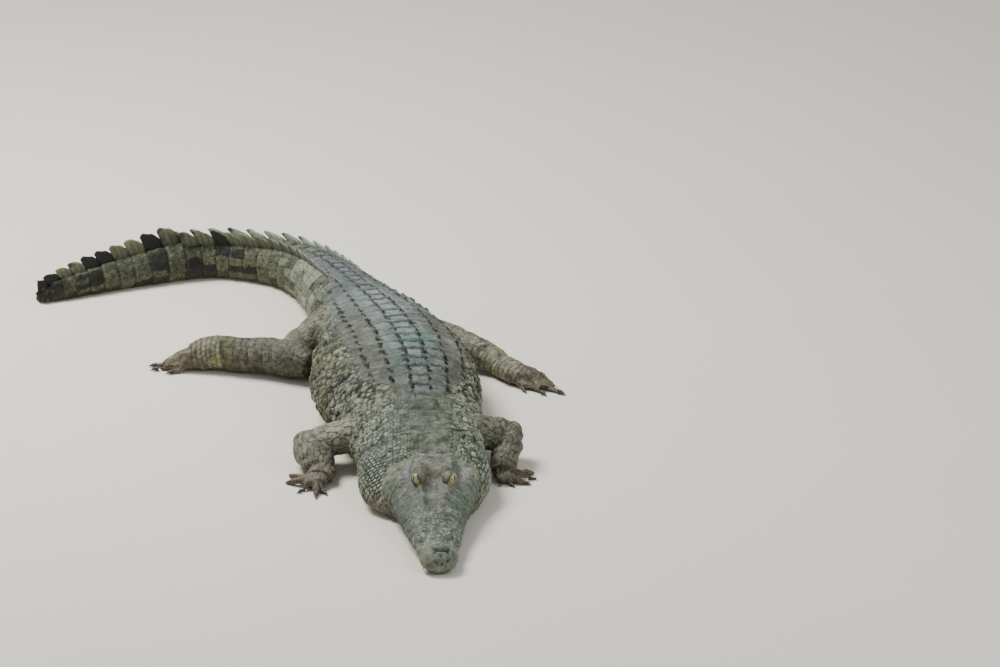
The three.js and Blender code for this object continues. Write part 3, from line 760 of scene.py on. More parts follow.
# eye openings: the skin inside them goes behind the eyeball, and the lids keep to its curve
lidShare = np.full(len(skinPoints), 9.0)
lidAbove = np.zeros(len(skinPoints))
turret = np.zeros(len(skinPoints))
nearTurret = np.zeros(len(skinPoints))
for sign, centre in zip((-1, 1), eyeCentres):
    facing, along, above = eyeAxes(sign)
    near = np.flatnonzero(((skinPoints - centre) ** 2).sum(1) < 0.11**2)
    away = skinPoints[near] - centre
    far = np.linalg.norm(away, axis=1)
    ray = away / far[:, None]
    alpha = np.degrees(np.arctan2(ray @ along, ray @ facing))
    beta = np.degrees(np.arcsin(np.clip(ray @ above, -1, 1)))
    share = np.hypot(alpha / eye["halfLength"],
                     beta / np.where(beta > 0, eye["halfWidth"] * 0.85, eye["halfWidth"]))
    onBall = fade(far, 0.05, 0.064)
    wrinkle = np.sin(2 * np.pi * share * 2.4) * smoothStep(share, 1.2, 1.45)
    lid = eye["lid"] + 0.0026 * bump(share, 1.12, 0.1) + 0.0018 * wrinkle
    radius = blend(far, lid, onBall * smoothStep(share, 0.85, 1.05))
    radius = blend(radius, eye["hidden"], fade(share, 0.94, 1.04) * (far < 0.075))
    hollow = bump(far, 0.058, 0.007) * smoothStep(-ray[:, 1] - 0.6 * ray[:, 2], 0.1, 0.6)
    radius = radius - 0.007 * hollow * smoothStep(share, 1.1, 1.3)
    skinPoints[near] = centre + ray * radius[:, None]
    lidShare[near] = np.where(far < 0.07, share, 9.0)
    lidAbove[near] = beta
    turret[near] = onBall
    nearTurret[near] = fade(far, 0.06, 0.09)
clampedT = np.clip(bodyT, 0, tailEnd)
girth = np.stack([np.interp(clampedT, spineT, girthAt[:, k]) for k in range(1, 5)], 1)
sideWidth = np.where(bodyOffset < 0, girth[:, 0], girth[:, 1])
bodyHeight, roundness = girth[:, 2], girth[:, 3]
middle = bodyHeight * widestAt
lift = skinPoints[:, 2] - middle
power = np.where(lift < 0, 2.2, roundness)
reach = np.where(lift < 0, middle * bellyDepth, bodyHeight - middle)
acrossShare = (np.abs(bodyOffset) / sideWidth) ** (power / 2)
liftShare = (np.abs(lift) / reach) ** (power / 2)
bodyDistance = (acrossShare**2 + liftShare**2) ** (1 / power)
bodyDistance[clampedT < 0.655] = 9
bodyDistance += np.maximum(bodyT - tailEnd, 0) * 10
aroundAngle = np.arctan2(liftShare * np.sign(lift), acrossShare)


def arcTable(count=160, samples=241, angleCount=121):
    # distance round the section from the middle of the back, for each place along the body and angle
    t = np.linspace(0.66, tailEnd, count)
    columns = smoothRows(girthRows, t)
    angles = np.linspace(-np.pi / 2, np.pi / 2, angleCount)
    table = np.empty((2, count, angleCount))
    param = np.linspace(np.pi / 2, -np.pi / 2, samples)
    for i, (_, right, left, height, roundBack) in enumerate(columns):
        centre = height * widestAt
        z, rise, power = sectionOutline(height, roundBack, param)
        for side, width in enumerate((right, left)):
            across = width * np.abs(np.cos(param)) ** (2 / power)
            arc = np.concatenate([[0], np.cumsum(np.hypot(np.diff(across), np.diff(z)))])
            seen = np.arctan2(np.sign(z - centre) * (np.abs(z - centre) / rise) ** (power / 2),
                              (across / width) ** (power / 2))
            table[side, i] = np.interp(angles, seen[::-1], arc[::-1])
    return t, angles, table


arcT, arcAngles, arcs = arcTable()
row = np.clip((clampedT - arcT[0]) / (arcT[1] - arcT[0]), 0, len(arcT) - 1.001)
column = np.clip((aroundAngle - arcAngles[0]) / (arcAngles[1] - arcAngles[0]), 0, len(arcAngles) - 1.001)
r0, c0 = row.astype(int), column.astype(int)
ru, cu = row - r0, column - c0
whichSide = (bodyOffset >= 0).astype(int)
bodyArc = ((arcs[whichSide, r0, c0] * (1 - cu) + arcs[whichSide, r0, c0 + 1] * cu) * (1 - ru)
           + (arcs[whichSide, r0 + 1, c0] * (1 - cu) + arcs[whichSide, r0 + 1, c0 + 1] * cu) * ru)

# the head: above the mouth line or below it, inside the skull's width
skullColumns = smoothRows(skullRows, clampedT)
mouthHeight = skullColumns[:, 2]
aboveCrown = skinPoints[:, 2] - crownHeight(clampedT, bodyOffset)
skullAcross = np.abs(bodyOffset - skullLean(clampedT)) / plainWidth(clampedT)
backEdge = bodyT + 0.012 * np.sin(95 * bodyOffset + 1) + 0.02 * bump(np.abs(bodyOffset), 0.1, 0.03)
headWeight = fade(backEdge, 1.0, 1.055) * fade(skullAcross, 0.97, 1.03)
headWeight = np.where(clampedT < 0.66, 1.0, headWeight * fade(aboveCrown, 0.006, 0.022))
headWeight = np.maximum(headWeight, nearTurret)

# the nearest limb length: how far out in its own radii, how far along and round it
limbDistance = np.full(len(skinPoints), 9.0)
secondLimb = np.full(len(skinPoints), 9.0)
limbLine = np.full(len(skinPoints), -1)
limbAlong = np.zeros(len(skinPoints))
limbAround = np.zeros(len(skinPoints))
for number, line in enumerate(lines):
    low = line["place"].min(0) - 0.25
    high = line["place"].max(0) + 0.25
    near = np.flatnonzero(((skinPoints > low) & (skinPoints < high)).all(1))
    part = skinPoints[near]
    nearest = ((part[:, None, :] - line["place"][None]) ** 2).sum(2).argmin(1)
    away = part - line["place"][nearest]
    side = (away * line["across"][nearest]).sum(1)
    rise = (away * line["up"][nearest]).sum(1)
    past = (away * line["ahead"][nearest]).sum(1)
    end = (nearest == 0) | (nearest == len(line["t"]) - 1)
    past = np.where(end, past, 0)
    across, tall = line["width"][nearest], line["height"][nearest]
    distance = np.sqrt((side / across) ** 2 + (rise / tall) ** 2 + (past / across) ** 2)
    closer = distance < limbDistance[near]
    secondLimb[near] = np.where(closer, limbDistance[near], np.minimum(secondLimb[near], distance))
    chosen = near[closer]
    limbDistance[chosen] = distance[closer]
    limbLine[chosen] = number
    limbAlong[chosen] = line["t"][nearest][closer]
    limbAround[chosen] = np.arctan2(rise / tall, side / across)[closer]
limbWeight = smoothStep(bodyDistance - limbDistance, -0.12, 0.12)
limbWeight = np.where(limbLine < 0, 0, limbWeight) * (1 - headWeight)

# creases where a limb leaves the body, or meets its next length, are filled out
nearJoin = bump(bodyDistance - limbDistance, 0, 0.2) * (limbDistance < 3) * (clampedT > 1.2)
nearJoin = np.maximum(nearJoin, 0.7 * bump(secondLimb - limbDistance, 0, 0.16))
isToe = np.array([line["kind"] == "toe" for line in lines] + [False])[limbLine]
nearJoin = np.where(isToe, nearJoin * 0.35, nearJoin)
nearNeck = bump(headWeight, 0.5, 0.35) * (clampedT > 0.66) * 0.8
settled = neighbourMean(skinPoints, edges, 14)
settle = np.clip(np.maximum(nearJoin, nearNeck), 0, 1)[:, None]
skinPoints = skinPoints * (1 - settle) + settled * settle
print("skin measured:", int((limbWeight > 0.5).sum()), "limb points,", int((headWeight > 0.5).sum()),
      "head points")


# patterns: jittered cells, plates and soft noise

cellTable = rng.random((3, 256, 256))
noiseTable = rng.random((64, 64, 64)) * 2 - 1


def cells(u, v, jitter, seed):
    # how far inside its scale a point lies, how near its middle, and a value of the scale's own
    near = np.full(u.shape, 9.0)
    second = np.full(u.shape, 9.0)
    own = np.zeros(u.shape)
    rowNumber = np.floor(v).astype(int)
    for down in (-1, 0, 1):
        j = rowNumber + down
        shift = 0.5 * (j & 1)
        columnNumber = np.floor(u - shift).astype(int)
        for along in (-1, 0, 1):
            i = columnNumber + along
            draw = cellTable[:, (i + 37 * seed) & 255, (j + 91 * seed) & 255]
            away = np.hypot(i + 0.5 + shift + jitter * (draw[0] - 0.5) - u,
                            j + 0.5 + jitter * (draw[1] - 0.5) - v)
            closer = away < near
            second = np.where(closer, near, np.minimum(second, away))
            own = np.where(closer, draw[2], own)
            near = np.where(closer, away, near)
    return second - near, near, own


def softNoise(points, size, octaves=2, seed=0):
    # smooth noise from -1 to 1; size is the size of its largest lumps, in millimetres
    total, weight = 0.0, 0.0
    for octave in range(octaves):
        place = points / (size * millimetre) * 2**octave + 7.3 * (seed + octave)
        whole = np.floor(place).astype(int)
        part = place - whole
        part = part * part * (3 - 2 * part)
        value = 0.0
        for corner in range(8):
            step = np.array([corner & 1, corner >> 1 & 1, corner >> 2 & 1])
            i = (whole + step) & 63
            share = np.where(step == 1, part, 1 - part).prod(1)
            value = value + share * noiseTable[i[:, 0], i[:, 1], i[:, 2]]
        total = total + value * 0.5**octave
        weight += 0.5**octave
    return total / weight * 1.6


def plate(a, b, start=0.8, corner=6):
    # 1 on the flat of a plate, 0 in the groove round it; a and b run from -1 to 1 across it
    return fade((np.abs(a) ** corner + np.abs(b) ** corner) ** (1 / corner), start, 1.0)


def ownValue(i, j, seed):
    return cellTable[2, (i.astype(int) + 53 * seed) & 255, (j.astype(int) + 29 * seed) & 255]


scuteRows = dict(firstRow=1.66, rowLength=0.1135, trunkRows=17, first=3.6, doubleCount=16, single=0.124,
                 shrink=0.955)


def ringEdges():
    # where each ring of tail scutes starts
    edges = [scuteRows["first"]]
    single = scuteRows["single"]
    while edges[-1] < tailEnd - single:
        inDoublePart = len(edges) <= scuteRows["doubleCount"]
        edges.append(edges[-1] + (scuteRows["rowLength"] if inDoublePart else single))
        if not inDoublePart:
            single *= scuteRows["shrink"]
    return edges


whorls = ringEdges()
rowEdges = ([scuteRows["firstRow"] + scuteRows["rowLength"] * i for i in range(scuteRows["trunkRows"])]
            + whorls + [tailEnd + 0.02])


def crestApart(t):
    # half the distance between the two rows of upright scutes, which run together along the tail
    whorl = np.clip((t - scuteRows["first"]) / scuteRows["rowLength"], 0, scuteRows["doubleCount"])
    return 0.115 - 0.075 * (whorl / scuteRows["doubleCount"]) ** 1.5


def columnWidth(t):
    rows = [(1.6, 0.098), (1.9, 0.112), (2.3, 0.125), (2.8, 0.119), (3.2, 0.1), (3.6, 0.0767)]
    return np.where(t < 3.6, smoothRows(rows, t)[:, 1], crestApart(t) / 1.5)


t = bodyT
side = np.abs(bodyArc)
signedArc = np.where(bodyOffset < 0, -side, side)
broad = softNoise(skinPoints, 160, 2, 1)
lumpy = softNoise(skinPoints, 60, 2, 2)
fine = softNoise(skinPoints, 22, 2, 3)
grain = softNoise(skinPoints, 9, 2, 4)
speck = softNoise(skinPoints, 5, 1, 5)

# every pattern gives its height in mm, and colours for its grooves (painted shade), its sides and its tops
palette = {name: linear(value) for name, value in dict(
    grooveShade="1d201a", grooveShadeGreen="262b23", blueGrey="5c655f", paleBlue="7b837d", keel="191b18",
    dorsalSide="575b4f", dorsalPale="77796c", teal="46605d", lavender="6c747a", pearl="9a9a84",
    shade="4c4a48", flank="5c6050", flankPale="8b8d76", flankGreen="6f7448", neck="5f6858",
    neckPale="8d9480", jowl="545c55", jowlPale="858b82", head="545b4e", headPale="7b8073",
    headDark="343b34", headPink="6f645d", tail="464a37", tailPale="6b6f54", tailBlue="656a66",
    black="11110e", limb="52544b", limbPale="7b7c72", foot="3e3832", footPale="655d53", mud="5d5043",
    belly="8d876a", bellyPale="a39d80", lip="7d7c63", lid="5a5349", lidPale="918a7a", lidRim="97935a",
    cheek="3e4f46", temple="6a6b6c", jawPatch="86825c", slit="0f100e", crest="464a39", crestPale="71755a",
    limbGrooveShade="363833", limbDark="45464a", jawSkin="77716c", iris="8b8855", irisPale="a5a274",
    irisEdge="5b5a2c", eyeCorner="2a2118", pupil="0b0a08").items()}


def tinted(color, name, weight, by=1.0):
    # the colour turned towards one of the palette, made lighter or darker
    return blend(color, palette[name] * np.reshape(by, (-1, 1)) + 0 * color, weight)


def painted(groove, base, top, height, tone, toneDepth=0.22):
    # colours from a groove's bottom, painted dark as shade, to a scale's top; height and tone run from 0 to 1
    body = blend(palette[base], palette[top], smoothStep(height, 0.45, 1.0))
    color = blend(palette[groove] + 0 * body, body, smoothStep(height, 0.05, 0.5))
    return color * (1 + toneDepth * (tone - 0.5) * 2)[:, None]


rowPlace = np.interp(t, rowEdges, np.arange(len(rowEdges)))
rowPlace = np.where(t < rowEdges[0], (t - rowEdges[0]) / scuteRows["rowLength"], rowPlace)


def stretchedNoise(along, across, size, stretch, seed):
    # noise drawn out across the body
    return softNoise(np.stack([along, across / stretch, 0 * along], 1) + 9, size, 2, seed)


# plates of the back: heights in mm and strengths of their colours
dorsalLook = dict(plate=2.2, middle=1.6, outerRidge=7.6, innerRidge=9.6, middleSink=1.4, keel=0.95,
                  teal=0.75, lavender=0.35, dull=0.85, sideDark=0.24, crest=0.85)


def dorsalPlates():
    columns = signedArc / columnWidth(t)
    j = np.floor(columns)
    jitter = 0.16 * fine + 0.1 * lumpy + 0.1 * (ownValue(j, j, 8) - 0.5)
    rows = rowPlace + jitter
    i = np.floor(rows)
    a, b = 2 * (rows - i) - 1, 2 * (columns - j) - 1
    tone = ownValue(i, j + 40, 1)
    streak = stretchedNoise(t, signedArc, 9, 3.5, 31)
    wrinkle = stretchedNoise(t, signedArc, 15, 4.0, 32)
    central = fade(np.abs(columns), 0.45, 0.75)
    waist = bump(t, 2.35, 0.45) * fade(np.abs(columns), 1.3, 2.0)
    crossing = np.clip(0.22 + 0.78 * central + 0.45 * waist, 0, 1)
    rowGroove = smoothStep(np.abs(a + 0.1 * fine), 0.66 - 0.3 * central, 0.97 - 0.12 * central)
    flat = 1 - rowGroove * crossing * (0.8 + 0.2 * wrinkle)
    ridge = bump(b + 0.22 * grain + 0.1 * fine, 0.0, 0.15) * between(a, -1.0, 0.3, 0.7, 0.98)
    ridgeHeight = np.where(np.abs(columns) > 2, dorsalLook["outerRidge"], dorsalLook["innerRidge"])
    ridgeHeight = ridgeHeight * (0.65 + 0.7 * tone) * (1 - 0.35 * smoothStep(t, 2.9, 3.6))
    height = (dorsalLook["plate"] + dorsalLook["middle"] * central) * flat
    height = height + ridgeHeight * ridge * (1 - 0.25 * central)
    height = height + 0.9 * wrinkle + 0.6 * streak + 0.5 * grain - dorsalLook["middleSink"] * central
    look = 0.02 + (0.6 + 0.16 * central) * flat + 0.24 * wrinkle * (1 - 0.6 * central)
    look = np.clip((look + 0.12 * streak + 0.12 * grain) * (0.86 + 0.22 * tone), 0, 1)
    color = painted("grooveShadeGreen", "blueGrey", "paleBlue", look, tone, 0.12)
    dull = painted("grooveShadeGreen", "dorsalSide", "dorsalPale", look, tone, 0.12)
    atSide = smoothStep(np.abs(columns) + 0.4 * lumpy + 0.3 * broad, 0.6, 1.5) * fade(t, 2.7, 3.2)
    color = blend(color, dull, dorsalLook["dull"] * atSide)
    teal = bump(t, 2.3, 0.3) * fade(np.abs(columns), 0.9, 1.9) * smoothStep(lumpy + 0.5 * broad, -0.6, 0.5)
    color = tinted(color, "teal", dorsalLook["teal"] * teal, 0.3 + 1.15 * look)
    lavender = between(t, 2.6, 3.1, 4.0, 4.6) * fade(np.abs(columns), 1.3, 2.2)
    color = tinted(color, "lavender", dorsalLook["lavender"] * lavender, 0.5 + 0.85 * look)
    # dark dashes at the keels: the keels' own dark horn and a painted shadow on one side of each keel
    lean = b + 0.2 * grain + 0.12 * fine
    dash = smoothStep(a + 0.3 * (tone - 0.5), -0.7, -0.2) * fade(a, 0.5, 0.8)
    dark = bump(lean + 0.12 * a, 0.1, 0.27) * dash * (0.8 + 0.3 * tone)
    color = tinted(color, "keel", dorsalLook["keel"] * smoothStep(dark, 0.24, 0.6))
    crestColor = painted("grooveShade", "tail", "tailPale", look, tone, 0.2)
    sideDark = dorsalLook["sideDark"] * smoothStep(np.abs(columns), 1.0, 2.0) * fade(t, 2.9, 3.3)
    color = blend(color * (1 - sideDark)[:, None], crestColor, dorsalLook["crest"] * smoothStep(t, 3.9, 5.0))
    return height, color


def pearls(u, v, jitter, seed, radius=0.6):
    # rounded scales: a dome in every cell with a groove between them
    edge, near, tone = cells(u, v, jitter, seed)
    dome = np.sqrt(np.clip(1 - (near / radius) ** 2, 0, 1)) * smoothStep(edge, 0.0, 0.2)
    return dome, tone


# scales of the flanks: their size in head lengths, small and big ones beside it, and heights in mm
flankLook = dict(size=0.046, small=1.9, big=1.55, rise=5.2, spread=3.0, bigRise=2.5, pearl=0.55, bruise=0.8)


def flankScales():
    size = flankLook["size"]
    slant = side + 0.55 * t
    u, v = (t - 0.35 * side) / size + 0.35 * lumpy, slant / size + 0.3 * lumpy + 0.12 * fine
    dome, tone = pearls(u, v, 0.55, 3, 0.53)
    small, smallTone = pearls(u * flankLook["small"], v * flankLook["small"], 0.6, 23, 0.55)
    big, bigTone = pearls(u / flankLook["big"], v / flankLook["big"], 0.6, 13, 0.5)
    mixBig = bump(t - 0.2 * side, 1.66, 0.2) * smoothStep(bigTone, 0.3, 0.5) * smoothStep(big, 0.02, 0.3)
    # towards the hips and the back the scales are small and drawn out into wrinkles
    drawn = stretchedNoise(t - 0.9 * side, side + 0.3 * t, 14, 2.6, 33)
    mixSmall = smoothStep(t + 0.5 * lumpy - 0.4 * (side - 0.4), 2.15, 2.5) * 0.75
    mixSmall = np.maximum(mixSmall, smoothStep(smallTone, 0.72, 0.8) * 0.8)
    dome = blend(dome, np.clip(0.75 * small + 0.45 * drawn, 0, 1), mixSmall)
    dome = dome * (1 - mixBig) + big * mixBig
    rowLine = bump(v - np.round(v), 0, 0.12) * (1 - mixSmall)
    dome = dome * (1 - 0.5 * rowLine)
    height = (flankLook["rise"] + flankLook["spread"] * tone) * dome * (1 - 0.35 * mixSmall)
    height = height + flankLook["bigRise"] * mixBig * big + 0.6 * grain
    look = np.clip(dome, 0, 1) ** 1.5 * (0.7 + 0.65 * tone)
    color = painted("grooveShade", "flank", "flankPale", look, tone, 0.28)
    color = tinted(color, "pearl", flankLook["pearl"] * mixBig * smoothStep(big, 0.5, 0.9))
    bruise = (signedArc < 0) * bump(t, 2.3, 0.2) * bump(side, 0.6, 0.13)
    bruise = np.maximum(smoothStep(0.7 * broad + 0.7 * lumpy, 0.3, 0.75), bruise)
    color = tinted(color, "shade", flankLook["bruise"] * bruise, 0.3 + 0.8 * dome)
    return height, color


# scales of the neck: size in head lengths, small ones beside it, heights in mm and where it creases
neckLook = dict(size=0.036, small=1.7, rise=2.6, spread=2.2, calm=0.78, creases=(1.2, 1.245, 1.43),
                depth=1.5)


def neckScales():
    u, v = t / neckLook["size"], (side + 0.12 * t) / neckLook["size"]
    dome, tone = pearls(u + 0.3 * lumpy, v + 0.3 * lumpy, 0.6, 5, 0.58)
    small, smallTone = pearls(u * neckLook["small"], v * neckLook["small"], 0.6, 15, 0.58)
    useSmall = smoothStep(smallTone, 0.45, 0.7)
    useSmall = np.maximum(useSmall, fade(side + 0.05 * lumpy, 0.13, 0.27))
    calm = 1 - neckLook["calm"] * fade(side + 0.05 * lumpy + 0.03 * broad, 0.06, 0.26)
    dome = dome * (1 - useSmall) + small * useSmall
    dome = 1 - calm * (1 - dome)
    wrinkles = stretchedNoise(t, signedArc, 13, 4.5, 35) * (1.6 - calm)
    for at in neckLook["creases"]:
        crease = bump(t + 0.012 * fine + 0.1 * side**2, at, 0.008) * fade(side, 0.16, 0.26)
        wrinkles = wrinkles - neckLook["depth"] * crease
    height = (neckLook["rise"] + neckLook["spread"] * tone) * dome * calm + 0.4 * grain + wrinkles
    look = np.clip(dome * (0.6 + 0.5 * tone) + 0.2 * wrinkles, 0, 1)
    color = painted("grooveShade", "neck", "neckPale", look, tone, 0.24 * calm)
    return height, color * (0.44 + 0.5 * calm)[:, None]


jowlLook = dict(size=0.027, rise=2.4, spread=1.6, smooth=0.7)


def jowlScales():
    u = (t + 0.5 * side) / jowlLook["size"] + 0.25 * lumpy + 0.12 * fine
    v = (side - 0.45 * t) / jowlLook["size"] + 0.25 * lumpy
    edge, near, tone = cells(u, v, 0.5, 7)
    dome = smoothStep(edge, 0.03, 0.4) * np.sqrt(np.clip(1 - (near / 0.75) ** 2, 0, 1))
    height = (jowlLook["rise"] + jowlLook["spread"] * tone) * dome + 0.4 * grain
    look = dome * (0.6 + 0.6 * tone)
    color = painted("grooveShade", "jowl", "jowlPale", look, tone, 0.26)
    smoothPart = bump(t, 0.8, 0.13) * fade(skinPoints[:, 2], 0.08, 0.16)
    smoothPart = smoothPart * smoothStep(0.3 * fine + 0.5, 0.2, 0.6)
    color = tinted(color, "jawSkin", jowlLook["smooth"] * smoothPart, 0.6 + 0.5 * look)
    return height * (1 - 0.6 * smoothPart), color


# plates of the nape: distance from the snout, half length, offset, half width
napePlates = [
    (1.525, 0.08, 0.0, 0.105), (1.515, 0.055, -0.15, 0.032), (1.515, 0.055, 0.15, 0.032),
    (1.37, 0.07, 0.0, 0.088), (1.38, 0.045, -0.125, 0.026), (1.38, 0.045, 0.125, 0.026),
    (1.1, 0.03, -0.1, 0.032), (1.1, 0.03, 0.1, 0.032),
]


napeLook = dict(rise=3.6, ridge=4.0, ruffle=0.9, tint=(0.58, 0.64, 0.6), keel=0.6, outline=0.36, cover=0.8)


def napeShield():
    height = np.zeros(len(skinPoints))
    mask = np.zeros(len(skinPoints))
    color = np.zeros((len(skinPoints), 3)) + palette["neck"]
    ruffle = stretchedNoise(t, signedArc, 11, 3.5, 36)
    for number, (at, halfLength, across, halfWidth) in enumerate(napePlates):
        a = (t - at) / halfLength + 0.08 * fine
        b = (signedArc - across) / halfWidth + 0.08 * fine
        flat = plate(a, b, 0.55, 3)
        # a plate beside the middle has one keel, towards the outside; the wide one in the middle has two
        outward, keelAt, cornerAt, cornerWidth = np.abs(b), 0.6, 0.82, 0.12
        if across:
            outward, keelAt, cornerAt, cornerWidth = b, 0.25 * np.sign(across), 0.75 * np.sign(across), 0.25
        ridge = bump(outward, keelAt, 0.22) * between(a, -0.9, 0.2, 0.5, 0.95)
        tone = cellTable[2, number, 9]
        height = np.maximum(height, napeLook["rise"] * flat + napeLook["ridge"] * ridge * flat)
        look = np.clip(0.42 + 0.1 * flat + 0.26 * ruffle + 0.14 * grain, 0, 1)
        one = painted("grooveShade", "neck", "neckPale", look, np.full(len(skinPoints), tone), 0.08)
        one = one * np.array(napeLook["tint"])
        corner = bump(outward, cornerAt, cornerWidth) * between(a, -0.4, 0.2, 0.6, 0.9)
        one = tinted(one, "keel",
                     napeLook["keel"] * smoothStep(corner, 0.3, 0.8) * smoothStep(flat, 0.0, 0.2))
        # a dark outline round each plate: painted shade in the groove round it
        one = tinted(one, "grooveShade", napeLook["outline"] * between(flat, 0.02, 0.25, 0.3, 0.75))
        here = smoothStep(flat, 0.02, 0.5)
        color = blend(color, one, here)
        mask = np.maximum(mask, here)
    return height + napeLook["ruffle"] * ruffle, color, mask * napeLook["cover"]


# black patches of the tail: ring, plate row counted down from the crest
blackPatches = {
    (7, 5), (9, 4), (9, 5), (11, 3), (11, 5), (12, 1), (12, 3), (13, 0), (13, 1), (14, 3), (14, 4), (14, 5),
    (15, 2), (15, 3), (15, 4), (15, 5), (17, 0), (17, 1), (17, 2), (17, 4), (17, 5), (18, 4), (18, 5),
    (19, 5), (20, 4), (20, 5), (21, 0), (21, 1), (21, 2), (21, 4), (21, 5), (22, 0), (22, 2), (22, 4),
    (22, 5), (23, 3), (23, 4), (23, 5), (24, 4), (24, 5), (25, 2), (25, 3), (25, 5),
}


# plates of the tail: rows down each side, where the sides end below, heights in mm and strengths of colour
tailLook = dict(rows=6, lowT=[3.2, 3.8, 4.5, 5.5, 6.4], low=[0.72, 0.56, 0.42, 0.32, 0.19], plate=2.0,
                step=2.6, speckled=0.55, edgeLine=0.4, grey=0.8, blue=0.5)


def tailPlates():
    apart = crestApart(t)
    total = np.interp(t, tailLook["lowT"], tailLook["low"])
    down = (side - apart) / (total - apart) * tailLook["rows"] + 0.06 * fine
    rows = rowPlace + 0.08 * lumpy + 0.03 * grain
    patchRow = np.clip(np.floor(down + 0.28 * fine + 0.12 * grain), -1, 8).astype(int)
    i, j = np.floor(rows), np.clip(np.floor(down), -1, 8)
    a, b = 2 * (rows - i) - 1, 2 * (down - j) - 1
    tone = ownValue(i, j + 20, 2)
    ringGroove = smoothStep(np.abs(a), 0.8, 0.99)
    plateGroove = smoothStep(np.abs(b), 0.86, 1.0)
    flat = (1 - ringGroove) * (1 - 0.7 * plateGroove)
    step = smoothStep(a, 0.72, 0.97)
    height = (tailLook["plate"] * flat + tailLook["step"] * smoothStep(a, -0.95, 0.75) * (1 - step)
              + 0.7 * grain)
    scratches = np.sin(2 * np.pi * (down * 2.5 + 0.8 * fine + 0.3 * grain))
    look = np.clip(0.28 + 0.4 * flat + 0.08 * scratches + 0.2 * grain + 0.16 * fine, 0, 1)
    color = painted("grooveShade", "tail", "tailPale", look, tone, 0.24)
    ringNumber = (i - scuteRows["trunkRows"]).astype(int)
    black = np.zeros(len(t))
    for ring, plateRow in blackPatches:
        black[(ringNumber == ring) & (patchRow == plateRow)] = 1
    black = np.clip(black * (0.95 + 0.1 * fine), 0, 0.98)
    speckled = smoothStep(fine + 0.35 * grain + 0.3 * lumpy, 0.3, 0.8) * smoothStep(t, 3.6, 4.4)
    black = np.maximum(black, tailLook["speckled"] * speckled)
    black = np.maximum(black, 0.96 * smoothStep(t + 0.04 * fine, 6.2, 6.3))
    color = tinted(color, "black", black, 0.8 + 0.5 * flat)
    edgeLine = bump(a, 0.78, 0.07) * (1 - 0.6 * black) * smoothStep(t, 4.0, 4.6)
    color = tinted(color, "neckPale", tailLook["edgeLine"] * edgeLine * smoothStep(fine, -0.5, 0.3))
    grey = fade(t, 4.0, 4.9)
    gap = smoothStep(fine + 0.5 * grain, 0.1, 0.5)
    greyLook = np.clip(0.56 + 1.9 * (look - 0.5) - 0.5 * gap + 0.55 * (tone - 0.4), 0, 1)
    color = blend(color, painted("grooveShade", "limb", "neckPale", greyLook, tone, 0.4),
                  tailLook["grey"] * grey)
    blue = smoothStep(signedArc, -0.02, 0.08) * fade(t, 5.2, 5.8)
    color = tinted(color, "tailBlue", tailLook["blue"] * blue, 0.55 + 0.5 * flat)
    return height, color


bellyLook = dict(row=0.062, column=0.055, rise=1.4)


def bellyPlates():
    rows, columns = t / bellyLook["row"] + 0.05 * lumpy, side / bellyLook["column"]
    i, j = np.floor(rows), np.floor(columns)
    flat = plate(2 * (rows - i) - 1, 2 * (columns - j) - 1, 0.8)
    tone = ownValue(i, j, 4)
    return bellyLook["rise"] * flat, painted("foot", "belly", "bellyPale", 0.3 + 0.6 * flat, tone, 0.12)


# for shank, foot, hand, toe, forearm and upper part: size of the scales, how plain they are, length and
# width of the plates that ring the part, share of those plates, and height in mm
limbLook = dict(
    size=(0.042, 0.05, 0.022, 0.014, 0.042, 0.05), plain=(0.08, 0.08, 0.08, 0.08, 0.2, 0.1),
    ringLength=(0.052, 0.034, 0.02, 0.02, 0.02, 0.02), plateWidth=(0.07, 0.03, 0.05, 0.05, 0.05, 0.05),
    ringShare=(0.75, 0.85, 0.0, 0.55, 0.0, 0.0), rise=(2.0, 3.0, 1.4, 1.2, 2.0, 2.0),
)


